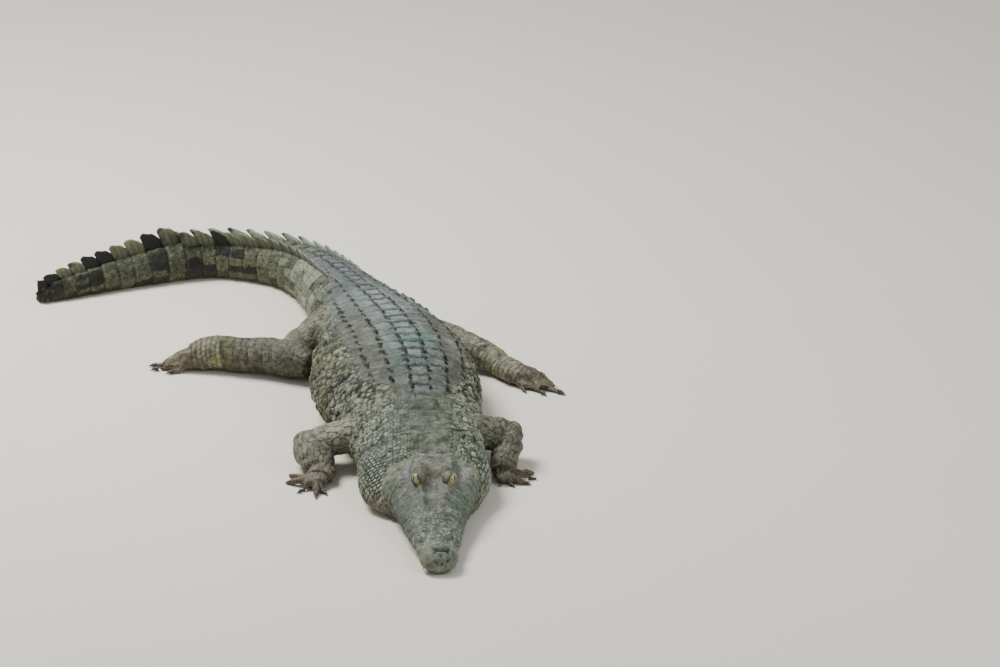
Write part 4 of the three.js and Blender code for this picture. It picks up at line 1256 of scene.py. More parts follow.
def limbScales():
    kinds = np.array([line["kind"] for line in lines] + ["none"])[limbLine]
    limbs = np.array([line["limb"] for line in lines] + ["none"])[limbLine]
    widths = np.array([line["width"].mean() for line in lines] + [1.0])[limbLine]
    lengths = np.array([line["length"] for line in lines] + [1.0])[limbLine]
    isHind = np.char.startswith(limbs, "hind")
    shank, forearm = (kinds == "lower") & isHind, (kinds == "lower") & ~isHind
    foot, hand = (kinds == "palm") & isHind, (kinds == "palm") & ~isHind
    toe = kinds == "toe"
    upperPart = kinds == "upper"
    own = {key: np.select([shank, foot, hand, toe, forearm], v[:5], v[5]) for key, v in limbLook.items()}
    size, plain, ringShare = own["size"], own["plain"], own["ringShare"]
    share = limbAlong / lengths
    around = limbAround * widths
    u, v = around / size + 0.3 * fine, limbAlong / size + limbLine * 3.3 + 0.3 * fine
    edge, _, tone = cells(u, v, 0.4, 9)
    dome = smoothStep(edge, 0.01, 0.2)
    patches = softNoise(skinPoints, 34, 3, 17)
    # rings of tall plates round the shank, rows of knobs on the foot, cross plates on the toes
    rows = limbAlong / own["ringLength"] + 0.25 * fine * shank + 0.12 * fine
    rowNumber = np.floor(rows)
    a = 2 * (rows - rowNumber) - 1
    across = around / own["plateWidth"] + 0.5 * (rowNumber % 2) * foot
    b = 2 * (across - np.floor(across)) - 1
    ringTone = ownValue(rowNumber, np.floor(across), 12)
    ringPlate = fade(np.abs(a), 0.66, 0.98) * (1 - 0.6 * smoothStep(np.abs(b), 0.75, 1.0))
    ringShare = np.where(shank, ringShare * smoothStep(share, 0.25, 0.6), ringShare)
    dome = blend(dome, ringPlate, ringShare)
    tone = blend(tone, ringTone, ringShare)
    ridges = np.abs(np.sin(limbAround * 1.5 + 0.4 * fine))
    height = own["rise"] * (0.75 + 0.5 * tone) * dome * (1 - 0.6 * plain) + 0.5 * grain
    height = height + 1.2 * toe * ridges + 1.2 * fine
    height = height + 1.32 * forearm * np.sin(2 * np.pi * (limbAlong / 0.085 + 0.5 * lumpy))
    look = np.clip(plain + (1 - plain) * dome * (0.7 + 0.3 * tone) + 0.12 * grain + 0.2 * patches, 0, 1)
    upper = painted("limbGrooveShade", "limb", "limbPale", look, tone, 0.08)
    lower = painted("grooveShade", "foot", "footPale", look, tone, 0.2)
    footWeight = np.where(hand | toe, 0.9, np.where(foot, 0.35 + 0.5 * smoothStep(share, 0.3, 0.9), 0.0))
    footWeight = np.where(forearm, 0.4 * smoothStep(share, 0.4, 1.0), footWeight)
    color = blend(upper, lower, np.clip(footWeight + 0.2 * lumpy, 0, 1))
    # painted shade between the ridges of each toe
    color = color * (1 - 0.3 * toe * (1 - ridges))[:, None]
    # dark blotches on the arms and knees, a yellow-green patch at the ankle
    blotch = smoothStep(patches + 0.3 * lumpy, 0.15, 0.6) * ~toe
    color = tinted(color, "limbDark", 0.55 * blotch, 0.45 + 0.7 * look)
    paleHere = smoothStep(-patches, 0.2, 0.7) * upperPart
    color = tinted(color, "neckPale", 0.4 * paleHere, 0.4 + 0.6 * look)
    ankle = shank * smoothStep(share, 0.8, 0.95) + foot * fade(share, 0.05, 0.3)
    color = tinted(color, "flankGreen", 0.6 * ankle * smoothStep(fine, -0.4, 0.4), 0.4 + 0.8 * dome)
    return height, color


# skin of the head: heights in mm
headLook = dict(crack=1.4, pit=0.7, dot=0.5, ripple=0.5, ruffle=2.0, hollow=1.6, sag=1.5, mouth=2.5,
                crease=3.0, frontPit=2.5, scale=1.0)


def headSkin():
    across = np.abs(bodyOffset)
    up = skinPoints[:, 2]
    snout = fade(t, 0.42, 0.62)
    behind = smoothStep(t, 0.76, 0.84)
    onTable = fade(across, 0.1, 0.135) * behind
    edge, _, tone = cells(t / 0.03 + 0.5 * fine, bodyOffset / 0.038 + up / 0.04 + 0.5 * lumpy, 0.95, 11)
    crack = fade(edge, 0.0, 0.2) * smoothStep(tone + 0.3 * fine, 0.2, 0.6)
    pits = smoothStep(softNoise(skinPoints, 7, 1, 8), 0.35, 0.75)
    dots = smoothStep(softNoise(skinPoints, 6, 1, 9), 0.3, 0.6)
    rough = softNoise(skinPoints, 17, 2, 10)
    ripple = stretchedNoise(t, bodyOffset, 7, 4.5, 37) * between(t, 0.42, 0.52, 0.72, 0.8)
    snout = snout * (0.3 + 0.7 * smoothStep(t, 0.1, 0.2))
    height = (headLook["dot"] * dots - headLook["pit"] * pits) * snout - headLook["crack"] * crack * onTable
    height = height + headLook["ripple"] * ripple + 0.4 * grain + 0.9 * fine
    height = height + headLook["ruffle"] * rough * (0.15 + 0.85 * onTable)
    height = height - headLook["hollow"] * onTable * smoothStep(rough, 0.1, 0.5)
    # the colour follows the relief: painted shade in the cracks of the table and the pits of the snout,
    # lighter on the raised dots and ripple crests
    look = 0.58 - 0.42 * crack * onTable - 0.34 * pits * snout + 0.3 * dots * snout + 0.16 * ripple
    look = np.clip(look + 0.1 * speck + 0.14 * grain - 0.3 * smoothStep(rough, 0.0, 0.5) * onTable
                   + 0.1 * fine, 0, 1)
    color = painted("headDark", "head", "headPale", look, tone, 0.08)
    dapple = smoothStep(fine + 0.6 * lumpy, 0.25, 0.8) * snout
    color = tinted(color, "headDark", 0.18 * dapple, 1.25)
    # pinkish brown between the eyes, along the middle of the snout and on the table behind each eye
    pinkHere = fade(across, 0.06, 0.1) * between(t, 0.6, 0.7, 0.82, 0.9)
    pinkHere = np.maximum(pinkHere, 1.1 * bump(t, 0.93, 0.08) * bump(across, 0.078, 0.026))
    pinkHere = np.maximum(pinkHere, 0.7 * bump(across, 0.004, 0.02) * smoothStep(t, 0.42, 0.52))
    pinkHere = pinkHere * (0.5 + 0.5 * smoothStep(fine + 0.5 * lumpy, -0.5, 0.3))
    color = tinted(color, "headPink", 0.55 * np.clip(pinkHere, 0, 1), 0.5 + 0.9 * look)
    paleLine = bump(bodyOffset, 0.002, 0.006) * between(t, 0.55, 0.6, 0.74, 0.8)
    color = tinted(color, "headPale", 0.35 * paleLine)
    # dark green cheeks, purplish temples, pale patches by the jaw joint
    cheek = bump(t, 0.52, 0.13) * smoothStep(across, 0.085, 0.17)
    color = tinted(color, "cheek", 0.62 * cheek, 0.7 + 0.6 * look)
    temple = bump(t, 0.85, 0.09) * bump(across, 0.165, 0.035)
    color = tinted(color, "temple", 0.6 * temple, 0.75 + 0.5 * look)
    pale = bump(t, 0.75, 0.03) * bump(across, 0.225, 0.022) + bump(t, 0.93, 0.05) * bump(across, 0.25, 0.03)
    color = tinted(color, "jawPatch", 0.5 * np.clip(pale, 0, 1) * smoothStep(fine, -0.4, 0.4))
    corner = bump(t, 1.01, 0.025) * bump(across, 0.088, 0.024)
    color = tinted(color, "neckPale", 0.5 * corner)
    behindEye = bump(t, 0.87, 0.07) * bump(across, 0.135, 0.014)
    color = tinted(color, "headDark", 0.55 * behindEye)
    # soft folds in front of the jaw joint and behind the eyes, with painted shade in their troughs and
    # painted light on their crests
    sag = np.sin(2 * np.pi * (t / 0.06 + across / 0.11 + 0.5 * lumpy + 0.3 * fine))
    sagHere = smoothStep(across, 0.12, 0.17) * between(t, 0.52, 0.62, 0.95, 1.0)
    height = height + headLook["sag"] * sag * sagHere
    color = color * (1 + 0.14 * sag * sagHere)[:, None]
    # scales at the side of the jaw, the lip, and painted shade in the gap of the mouth
    sideways = smoothStep(skullAcross, 0.84, 0.97) * smoothStep(t, 0.5, 0.8)
    lipHere = bump(up - mouthHeight, 0.006, 0.011) * smoothStep(skullAcross, 0.75, 0.92) * fade(t, 0.9, 1.0)
    color = tinted(color, "lip", 0.5 * lipHere * (0.7 + 0.5 * grain))
    tipSide = bump(t, 0.07, 0.04) * smoothStep(across, 0.06, 0.085) * fade(up - mouthHeight, 0.03, 0.06)
    color = tinted(color, "flankGreen", 0.5 * tipSide, 1.1)
    below = smoothStep(mouthHeight - up, 0.0, 0.012)
    color = tinted(color, "jowl", 0.5 * below)
    slit = bump(up - mouthHeight, -0.004, 0.005) * smoothStep(skullAcross, 0.6, 0.8) * fade(t, 0.92, 0.98)
    height = height - headLook["mouth"] * slit + headLook["scale"] * sideways * smoothStep(edge, 0.0, 0.4)
    color = tinted(color, "slit", 0.85 * slit)
    # the crease between the skull and the swollen jowl, with painted shade in it
    crease = bump(skullAcross, 1.01, 0.035) * between(t, 0.42, 0.5, 0.98, 1.05)
    height = height - headLook["crease"] * crease
    color = tinted(color, "grooveShade", 0.6 * crease)
    # the crescent slit, nostril valves and pits on the snout tip, and the hollows before the big teeth:
    # painted shade in these openings and hollows
    beyond = bodyOffset - headShape["nose"]["side"]
    disc = nostrilDisc(t, beyond)
    crescent = bump(disc, 0.045, 0.0045) * smoothStep(0.1 - t, 0.006, 0.02)
    for openings, wide in ((nosePits, 0.0095), (nostrilValves, 0.007)):
        for place, offAxis in openings:
            crescent = np.maximum(crescent, bump(np.hypot(t - place, beyond - offAxis), 0, wide))
    tipMouth, tipTop = smoothRows(skullRows, np.array([0.06]))[0, 2:4]
    for level, offAxis in frontPits:
        pitAway = np.hypot(up - tipMouth - level * (tipTop - tipMouth), beyond - offAxis)
        pit = bump(pitAway, 0, 0.0095) * fade(t, 0.045, 0.06)
        crescent = np.maximum(crescent, pit)
        height = height - headLook["frontPit"] * pit
    hollows = 0.35 * bump(bigToothHollow(t, across), 0, 0.018)
    onTop = smoothStep(up - mouthHeight, 0.02, 0.035)
    color = tinted(color, "slit", np.maximum(0.9 * crescent, hollows) * onTop)
    # lids: wrinkled brown above the eye, a thin yellow rim, and painted shade in the fold outside the rim and
    # at the edge of the opening, dark in the corner and in the hollow below
    circles = np.sin(2 * np.pi * lidShare * 2.4)
    lid = tinted(tinted(color, "lid", np.ones(len(t))), "lidPale",
                 smoothStep(circles + 0.5 * grain, -0.5, 0.6))
    onLid = turret * between(lidShare, 0.9, 1.0, 2.6, 3.4)
    color = blend(color, lid, 0.55 * onLid)
    ringDark = bump(lidShare, 1.75, 0.1) + 0.8 * bump(lidShare, 2.25, 0.1)
    color = tinted(color, "headDark", 0.38 * np.clip(ringDark, 0, 1) * turret, 0.7)
    rim = bump(lidShare, 1.1, 0.13) * turret
    color = tinted(color, "lidRim", rim * np.where(lidAbove < 0, 0.85, 0.45))
    color = tinted(color, "slit", 0.9 * bump(lidShare, 1.42, 0.13) * turret)
    color = tinted(color, "slit", 0.9 * fade(lidShare, 0.96, 1.03))
    height = height * (1 - 0.85 * turret) * smoothStep(lidShare, 1.0, 1.3)
    # painted shade on one side of the head and in the hollow between the eyes, painted light on the other
    # cheek; the middle of the snout a little darker
    leftSide = smoothStep(-bodyOffset, -0.06, 0.1)
    paintedShade = (0.06 + 0.22 * leftSide) * between(t, 0.22, 0.4, 0.76, 0.86)
    paintedShade = np.maximum(paintedShade, 0.3 * bump(t, 0.71, 0.09) * fade(across, 0.05, 0.09) * (1 - turret))
    color = color * (1 - paintedShade)[:, None]
    rightCheekLight = smoothStep(bodyOffset, 0.05, 0.15) * between(t, 0.25, 0.4, 0.7, 0.8)
    snoutDim = 0.15 * between(t, 0.14, 0.3, 0.78, 0.88)
    color = color * (1.08 - snoutDim + 0.24 * rightCheekLight)[:, None]
    return height, color


shieldEdge = np.where(t < 3.6, 3.0 * columnWidth(t), crestApart(t))
shieldWobble = 0.03 * lumpy + 0.02 * fine
shield = fade(side - shieldEdge + shieldWobble, -0.03, 0.03)
frontEdge = 1.64 + 0.15 * np.maximum(side / columnWidth(t) - 1, 0) + 0.02 * lumpy
shield = shield * smoothStep(t - frontEdge, -0.05, 0.05) * fade(t, 4.9, 5.3)
onTail = smoothStep(t, 3.42, 3.72)
facing = pointNormals(skinPoints, quads)
under = smoothStep(-facing[:, 2], 0.55, 0.85)
nearMiddle = fade(side + 0.04 * lumpy, 0.12, 0.26)
neckWeight = fade(t - 0.25 * (side - 0.2) - 0.35 * nearMiddle, 1.5, 1.72)
jowlWeight = fade(t, 1.08, 1.25) * smoothStep(side, 0.22, 0.36)

flankHeight, flankColor = flankScales()
neckHeight, neckColor = neckScales()
jowlHeight, jowlColor = jowlScales()
napeHeight, napeColor, napeMask = napeShield()
dorsalHeight, dorsalColor = dorsalPlates()
tailHeight, tailColor = tailPlates()
bellyHeight, bellyColor = bellyPlates()
limbHeight, limbColor = limbScales()
headHeight, headColor = headSkin()
print("patterns drawn")

height, color = flankHeight, flankColor
greenPatch = smoothStep(broad + 0.4 * lumpy, 0.0, 0.6)
color = tinted(color, "flankGreen", 0.35 * greenPatch, 0.25 + smoothStep(flankHeight, 0.5, 5.0))
layers = [
    (neckWeight, neckHeight, neckColor), (jowlWeight, jowlHeight, jowlColor), (onTail, tailHeight, tailColor),
    (shield, dorsalHeight, dorsalColor), (napeMask, napeHeight, napeColor), (under, bellyHeight, bellyColor),
    (limbWeight, limbHeight, limbColor), (headWeight, headHeight, headColor),
]
for weight, layerHeight, layerColor in layers:
    weight = np.clip(weight, 0, 1)
    height = blend(height, layerHeight, weight)
    color = blend(color, layerColor, weight)

# loose skin: folds on the flanks, behind the jowls and where the limbs bend; heights in mm
relief = dict(sink=-2.2, folds=5.5, lumps=5.0, ripples=1.6, collar=4.0)
soft = (1 - headWeight) * (1 - shield) * (1 - onTail)
folds = np.sin(2 * np.pi * (t / 0.17 + 0.6 * lumpy + 0.3 * side))
folds = folds * smoothStep(side, 0.3, 0.45) * smoothStep(t, 1.6, 1.9)
loose = relief["folds"] * folds * soft * (1 - limbWeight) + relief["lumps"] * lumpy * soft
loose += relief["ripples"] * fine * (1 - headWeight)
# a crease behind the jowls, with painted shade in it
collar = bump(t - 0.25 * (side - 0.2), 1.17, 0.022) * smoothStep(side, 0.02, 0.06) * (1 - headWeight)
loose -= relief["collar"] * collar
color = tinted(color, "grooveShade", 0.45 * collar)

total = (height + loose + relief["sink"] * (1 - headWeight)) * millimetre
nearFloor = smoothStep(skinPoints[:, 2], 0.0, 0.02)
total = total + smoothStep(t, 6.26, 6.4) * (6.0 * fine + 5.0 * grain - 2.5) * millimetre
total = np.where(total > 0, total * nearFloor, total)
skin = skinPoints + facing * total[:, None]
skin[:, 2] = np.where(skinPoints[:, 2] < 0.004, np.maximum(skinPoints[:, 2] * 0.3, 0),
                      np.maximum(skin[:, 2], 0))

# mottling that runs over everything: damp darker areas, dust and mud; tones for each limb and along the body;
# painted light on one side of the flank and neck
shade = 1 + 0.1 * broad + 0.07 * lumpy + 0.06 * grain
limbNames = np.array([line["limb"] + line["kind"] for line in lines] + ["none"])[limbLine]
limbTones = dict(hindRightlower=0.54, hindRightupper=0.74, hindRightpalm=1.15, hindRighttoe=1.2,
                 hindLeftupper=0.82, hindLeftlower=0.82, foreRightupper=1.15, foreRightlower=0.88,
                 foreLeftupper=0.68, foreLeftlower=0.68)
for name, tone in limbTones.items():
    shade = shade * (1 - (1 - tone) * limbWeight * (limbNames == name))
toneRows = [
    (1.0, 0.9), (1.2, 0.8), (1.6, 0.74), (2.0, 0.72), (2.4, 0.98), (2.9, 0.92), (3.3, 0.85), (3.6, 0.66),
    (4.0, 0.66), (4.4, 0.7), (5.0, 0.7), (6.2, 0.48),
]
bodyTone = smoothRows(toneRows, t)[:, 1]
onTrunk = (1 - limbWeight) * (1 - headWeight)
shade = shade * (1 - (1 - bodyTone) * onTrunk)
# painted light: one side of the flank and of the neck is made lighter
farFlankLight = smoothStep(bodyOffset, 0.15, 0.3) * smoothStep(t, 1.2, 1.5) * (1 - onTail)
shade = shade * (1 + 0.2 * farFlankLight)
farNeckLight = smoothStep(bodyOffset, 0.1, 0.24) * bump(t, 1.3, 0.26) * onTrunk
shade = shade * (1 + 0.4 * farNeckLight)
shade = shade * (1 - 0.2 * nearMiddle * bump(t, 1.5, 0.5) * onTrunk)
warmth = np.clip(limbWeight + smoothStep(0.3 - skin[:, 2], 0.0, 0.25) * (1 - headWeight), 0, 1)
warmth = warmth * (1 - 0.7 * between(t, 3.5, 4.0, 5.6, 6.2))
color = color * (1 + warmth[:, None] * np.array([0.03, 0.0, -0.2]))
color = color * shade[:, None]
muddy = smoothStep(0.1 - skin[:, 2] + 0.03 * lumpy, 0.0, 0.12) * (0.35 + 0.35 * (limbWeight > 0.5))
color = tinted(color, "mud", muddy * 0.7, 0.8 + 0.25 * smoothStep(height, 0, 3))
color = np.clip(color, 0.002, 1)


# patches of the flat map for the limb lengths and for the toes, in rows
limbPatches = [
    dict(toes=False, perRow=2, left=0.73, bottom=0.01, across=0.135, up=0.12, middle=0.065, wide=0.12,
         tall=0.11),
    dict(toes=True, perRow=10, left=0.37, bottom=0.79, across=0.062, up=0.1, middle=0.031, wide=0.056,
         tall=0.09),
]


def skinMap():
    # the flat map of the skin: the body in two strips, the head, and a patch for each limb length
    part = np.where(headWeight > 0.5, -2, np.where(limbWeight > 0.5, limbLine, -1))
    facePart = np.sort(part[quads], 1)[:, 1]
    corner = quads
    fromSide = np.arctan2(skinPoints[:, 2] - 0.8 * mouthHeight, np.abs(bodyOffset))
    angle = np.where(bodyOffset < 0, -1, 1) * (np.pi / 2 - fromSide)
    u = np.zeros(quads.shape)
    v = np.zeros(quads.shape)

    def wrapped(values, period):
        first = values[:, :1]
        return values - period * np.round((values - first) / period)

    head = facePart == -2
    u[head] = 0.18 + wrapped(angle[corner[head]], 2 * np.pi) / (2 * np.pi) * 0.34
    v[head] = 0.01 + 0.25 * np.clip(t[corner[head]], -0.02, 1.06)
    body = facePart == -1
    meanT = t[corner].mean(1)
    front = body & (meanT < 3.45)
    rear = body & ~front
    around = signedArc[corner]
    jump = (np.abs(around - around[:, :1]) > 0.4) & (np.sign(around) != np.sign(around[:, :1]))
    around = np.where(jump, -around, around)
    u[front] = 0.18 + around[front] * 0.245
    v[front] = 0.285 + 0.25 * (t[corner[front]] - 0.62)
    u[rear] = 0.54 + around[rear] * 0.245
    v[rear] = 0.01 + 0.25 * (t[corner[rear]] - 3.45)
    for patch in limbPatches:
        numbers = [i for i, line in enumerate(lines) if (line["kind"] == "toe") == patch["toes"]]
        for order, number in enumerate(numbers):
            own = facePart == number
            left = patch["left"] + patch["across"] * (order % patch["perRow"])
            bottom = patch["bottom"] + patch["up"] * (order // patch["perRow"])
            turn = wrapped(limbAround[corner[own]], 2 * np.pi) / (2 * np.pi)
            u[own] = left + patch["middle"] + turn * patch["wide"]
            v[own] = bottom + patch["tall"] * limbAlong[corner[own]] / lines[number]["length"]
    return np.clip(np.stack([u, v], -1), 0.001, 0.999)


def meshPiece(name, points, faces, material, paint, flat):
    # points are in head lengths; faces is an array of quads or a list of corner lists;
    # paint is red, green, blue and how dotted; the flat map is given for each corner, or for each point
    mesh = bpy.data.meshes.new(name)
    places = toFrame(points)
    if isinstance(faces, np.ndarray):
        mesh.vertices.add(len(places))
        mesh.vertices.foreach_set("co", places.ravel())
        sides = faces.shape[1]
        mesh.loops.add(faces.size)
        mesh.loops.foreach_set("vertex_index", faces.ravel().astype(np.int32))
        mesh.polygons.add(len(faces))
        mesh.polygons.foreach_set("loop_start", np.arange(0, faces.size, sides, dtype=np.int32))
        mesh.update(calc_edges=True)
    else:
        mesh.from_pydata(places.tolist(), [], faces)
    mesh.validate()
    mesh.polygons.foreach_set("use_smooth", np.ones(len(mesh.polygons), bool))
    if flat.ndim == 2:
        corners = np.empty(len(mesh.loops), np.int32)
        mesh.loops.foreach_get("vertex_index", corners)
        flat = flat[corners]
    layer = mesh.uv_layers.new(name="OFBake")
    layer.data.foreach_set("uv", flat.astype(np.float32).ravel())
    layer = mesh.attributes.new("hide", "FLOAT_COLOR", "POINT")
    layer.data.foreach_set("color", paint.astype(np.float32).ravel())
    mesh.materials.append(material)
    piece = bpy.data.objects.new(name, mesh)
    bpy.context.collection.objects.link(piece)
    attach(piece, "root")
    return piece


# scaled hide: horny scutes and soft skin between them, a little damp, so broad soft highlights on the
# scale tops
def hideMaterial(name, roughness):
    material, tree, shader = newMaterial(name, roughness, 0.32, 0.0)
    place = addNode(tree, "ShaderNodeTexCoord").outputs["Object"]
    paintNode = addNode(tree, "ShaderNodeAttribute", {"attribute_name": "hide"})
    paint = paintNode.outputs["Color"]
    mottle = addNode(tree, "ShaderNodeTexNoise", {"Scale": perMetre(14), "Detail": 5.0, "Roughness": 0.62},
                     {"Vector": place})
    mottleTone = addNode(tree, "ShaderNodeMapRange", {1: 0.3, 2: 0.7, 3: 0.72, 4: 1.25},
                         {"Value": mottle.outputs["Fac"]})
    dust = addNode(tree, "ShaderNodeTexNoise", {"Scale": perMetre(4), "Detail": 3.0}, {"Vector": place})
    dustTone = addNode(tree, "ShaderNodeMapRange", {1: 0.35, 2: 0.65, 3: 0.86, 4: 1.14},
                       {"Value": dust.outputs["Fac"]})
    both = addNode(tree, "ShaderNodeMath", {"operation": "MULTIPLY"},
                   {0: mottleTone.outputs["Result"], 1: dustTone.outputs["Result"]})
    dotted = addNode(tree, "ShaderNodeTexNoise", {"Scale": perMetre(6.5), "Detail": 1.5}, {"Vector": place})
    dotTone = addNode(tree, "ShaderNodeMapRange", {1: 0.38, 2: 0.62, 3: 0.58, 4: 1.4},
                      {"Value": dotted.outputs["Fac"]})
    dotShare = addNode(tree, "ShaderNodeMapRange", {1: 0.0, 2: 1.0, 3: 1.0},
                       {"Value": paintNode.outputs["Alpha"], 4: dotTone.outputs["Result"]})
    tones = addNode(tree, "ShaderNodeMath", {"operation": "MULTIPLY"},
                    {0: both.outputs["Value"], 1: dotShare.outputs["Result"]})
    toned = addNode(tree, "ShaderNodeVectorMath", {"operation": "SCALE"},
                    {0: paint, "Scale": tones.outputs["Value"]})
    tree.links.new(toned.outputs["Vector"], shader.inputs["Base Color"])
    damp = addNode(tree, "ShaderNodeTexNoise", {"Scale": perMetre(45), "Detail": 3.0}, {"Vector": place})
    rough = addNode(tree, "ShaderNodeMapRange", {1: 0.3, 2: 0.7, 3: roughness - 0.12, 4: roughness + 0.12},
                    {"Value": damp.outputs["Fac"]})
    tree.links.new(rough.outputs["Result"], shader.inputs["Roughness"])
    creases = addNode(tree, "ShaderNodeTexVoronoi", {"feature": "DISTANCE_TO_EDGE", "Scale": perMetre(5)},
                      {"Vector": place})
    crease = addNode(tree, "ShaderNodeMapRange", {1: 0.0, 2: 0.12, 3: 0.0, 4: 1.0},
                     {"Value": creases.outputs["Distance"]})
    bumps = addNode(tree, "ShaderNodeBump", {"Strength": 0.35, "Distance": 0.0008},
                    {"Height": crease.outputs["Result"]})
    pores = addNode(tree, "ShaderNodeBump", {"Strength": 0.4, "Distance": 0.001},
                    {"Height": mottle.outputs["Fac"], "Normal": bumps.outputs["Normal"]})
    dotHeight = addNode(tree, "ShaderNodeMath", {"operation": "MULTIPLY"},
                        {0: dotted.outputs["Fac"], 1: paintNode.outputs["Alpha"]})
    dotBumps = addNode(tree, "ShaderNodeBump", {"Strength": 0.6, "Distance": 0.002},
                       {"Height": dotHeight.outputs["Value"], "Normal": pores.outputs["Normal"]})
    tree.links.new(dotBumps.outputs["Normal"], shader.inputs["Normal"])
    return material


hide = hideMaterial("scaled hide", 0.62)
fleshNodes = [name for name in frame["nodes"] if not name.startswith(("eye_", "claw_"))]
# where the hide is finely dotted: most on the snout, a little elsewhere
noseDisc = nostrilDisc(t, bodyOffset - headShape["nose"]["side"])
dotted = (0.35 + 0.65 * smoothStep(t, 0.1, 0.2)) * fade(t, 0.4, 0.6) * smoothStep(noseDisc, 0.03, 0.07)
speckled = (0.15 + 0.5 * smoothStep(t, 3.9, 4.4)
            + headWeight * (0.62 * dotted + 0.2 * smoothStep(t, 0.76, 0.84)))
skinPiece = meshPiece("skin", skin, quads, hide, np.column_stack([color, speckled]), skinMap())
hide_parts(*fleshNodes)
print("skin made:", 2 * len(quads), "triangles")


# eyes: wet balls, yellow-green with an upright dark slit

def skinBack(t, offset):
    # height of the back over a place beside the backbone
    t, offset = np.broadcast_arrays(t, offset)
    columns = np.stack([np.interp(t, spineT, girthAt[:, k]) for k in range(5)], -1)
    width = np.where(offset < 0, columns[..., 1], columns[..., 2])
    middle = columns[..., 3] * widestAt
    share = np.clip(np.abs(offset) / width, 0, 1) ** columns[..., 4]
    return middle + (columns[..., 3] - middle) * (1 - share) ** (1 / columns[..., 4])


def ringPiece(name, body, colors, material, flat):
    # a piece made of ring bodies, with a colour and a place on the flat map for each point
    paint = np.column_stack([colors, np.ones(len(colors))])
    return meshPiece(name, np.concatenate(body.points), body.faces, material, paint, flat)


def eyePiece(sign, centre, node):
    pupil = unit(np.array(eye["pupil"]) * [sign, 1, 1])
    upright = np.array([eye["pupilLean"] * sign, 0, 1])
    upright = unit(upright - pupil * (upright @ pupil))
    level = np.cross(pupil, upright)
    rows, sides = eye["rows"], eye["sides"]
    polar = np.pi * (np.arange(rows) + 0.5) / rows
    turn = 2 * np.pi * np.arange(sides) / sides
    ray = (np.cos(polar)[:, None, None] * pupil
           + np.sin(polar)[:, None, None]
           * (np.cos(turn)[:, None] * upright + np.sin(turn)[:, None] * level)).reshape(-1, 3)
    high = np.degrees(np.arcsin(np.clip(ray @ upright, -1, 1)))
    wide = np.degrees(np.arctan2(ray @ level, ray @ pupil))
    reach = np.degrees(np.arccos(np.clip(ray @ pupil, -1, 1)))
    slit = np.hypot(high / eye["pupilLength"], wide / eye["pupilWidth"])
    streak = softNoise(np.stack([np.arctan2(high, wide) * 0.05, reach * 0.0006, 0 * reach], 1) + 3, 14, 2, 21)
    fleck = softNoise(ray * 0.04, 6, 2, 22)
    iris = palette["iris"] * (1 + 0.22 * streak + 0.16 * fleck)[:, None]
    iris = tinted(iris, "irisPale", bump(slit, 1.5, 0.35) * 0.7)
    iris = tinted(iris, "irisEdge", 0.75 * smoothStep(reach, 52, 76))
    iris = tinted(iris, "eyeCorner", smoothStep(reach, 72, 88))
    paint = tinted(iris, "pupil", fade(slit, 0.88, 1.08))
    points = centre + ray * (eye["radius"] * (1 + 0.05 * bump(reach, 0, 26)))[:, None]
    ball = Shells()
    ball.add(points.reshape(rows, sides, 3))
    spread = np.concatenate([np.repeat(polar, sides), [0, np.pi]])[:, None] / np.pi * 0.48
    angle = np.concatenate([np.tile(turn, rows), [0, 0]])
    flat = 0.5 + spread * np.stack([np.cos(angle), np.sin(angle)], 1)
    shown = ringPiece(node, ball, np.concatenate([paint, paint[:1], paint[-1:]]), eyeMaterial, flat)
    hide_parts(node)


def wetEye():
    # eyeball under a film of tears: sharp small highlights over a coloured iris
    material, tree, shader = newMaterial("wet cornea over iris", 0.16, 0.5, 0.9)
    shader.inputs["Coat Roughness"].default_value = 0.03
    shader.inputs["IOR"].default_value = 1.376
    place = addNode(tree, "ShaderNodeTexCoord").outputs["Object"]
    paint = addNode(tree, "ShaderNodeAttribute", {"attribute_name": "hide"}).outputs["Color"]
    flecks = addNode(tree, "ShaderNodeTexNoise", {"Scale": perMetre(1.6), "Detail": 3.0}, {"Vector": place})
    tone = addNode(tree, "ShaderNodeMapRange", {1: 0.3, 2: 0.7, 3: 0.8, 4: 1.2},
                   {"Value": flecks.outputs["Fac"]})
    toned = addNode(tree, "ShaderNodeVectorMath", {"operation": "SCALE"},
                    {0: paint, "Scale": tone.outputs["Result"]})
    tree.links.new(toned.outputs["Vector"], shader.inputs["Base Color"])
    return material


eyeMaterial = wetEye()
for sign, centre, node in zip((-1, 1), eyeCentres, ("eye_right", "eye_left")):
    eyePiece(sign, centre, node)
print("eyes made")


# horn: claws are dark and scraped, crest scutes are the colour of the hide, teeth are old ivory

def hornMaterial(name, roughness, streakSize, depth):
    material, tree, shader = newMaterial(name, roughness, 0.35, 0.0)
    place = addNode(tree, "ShaderNodeTexCoord").outputs["Object"]
    paint = addNode(tree, "ShaderNodeAttribute", {"attribute_name": "hide"}).outputs["Color"]
    streaks = addNode(tree, "ShaderNodeTexNoise",
                      {"Scale": perMetre(streakSize), "Detail": 5.0, "Roughness": 0.6},
                      {"Vector": place})
    tone = addNode(tree, "ShaderNodeMapRange", {1: 0.3, 2: 0.7, 3: 0.7, 4: 1.3},
                   {"Value": streaks.outputs["Fac"]})
    toned = addNode(tree, "ShaderNodeVectorMath", {"operation": "SCALE"},
                    {0: paint, "Scale": tone.outputs["Result"]})
    tree.links.new(toned.outputs["Vector"], shader.inputs["Base Color"])
    bumps = addNode(tree, "ShaderNodeBump", {"Strength": 0.5, "Distance": depth},
                    {"Height": streaks.outputs["Fac"]})
    tree.links.new(bumps.outputs["Normal"], shader.inputs["Normal"])
    return material


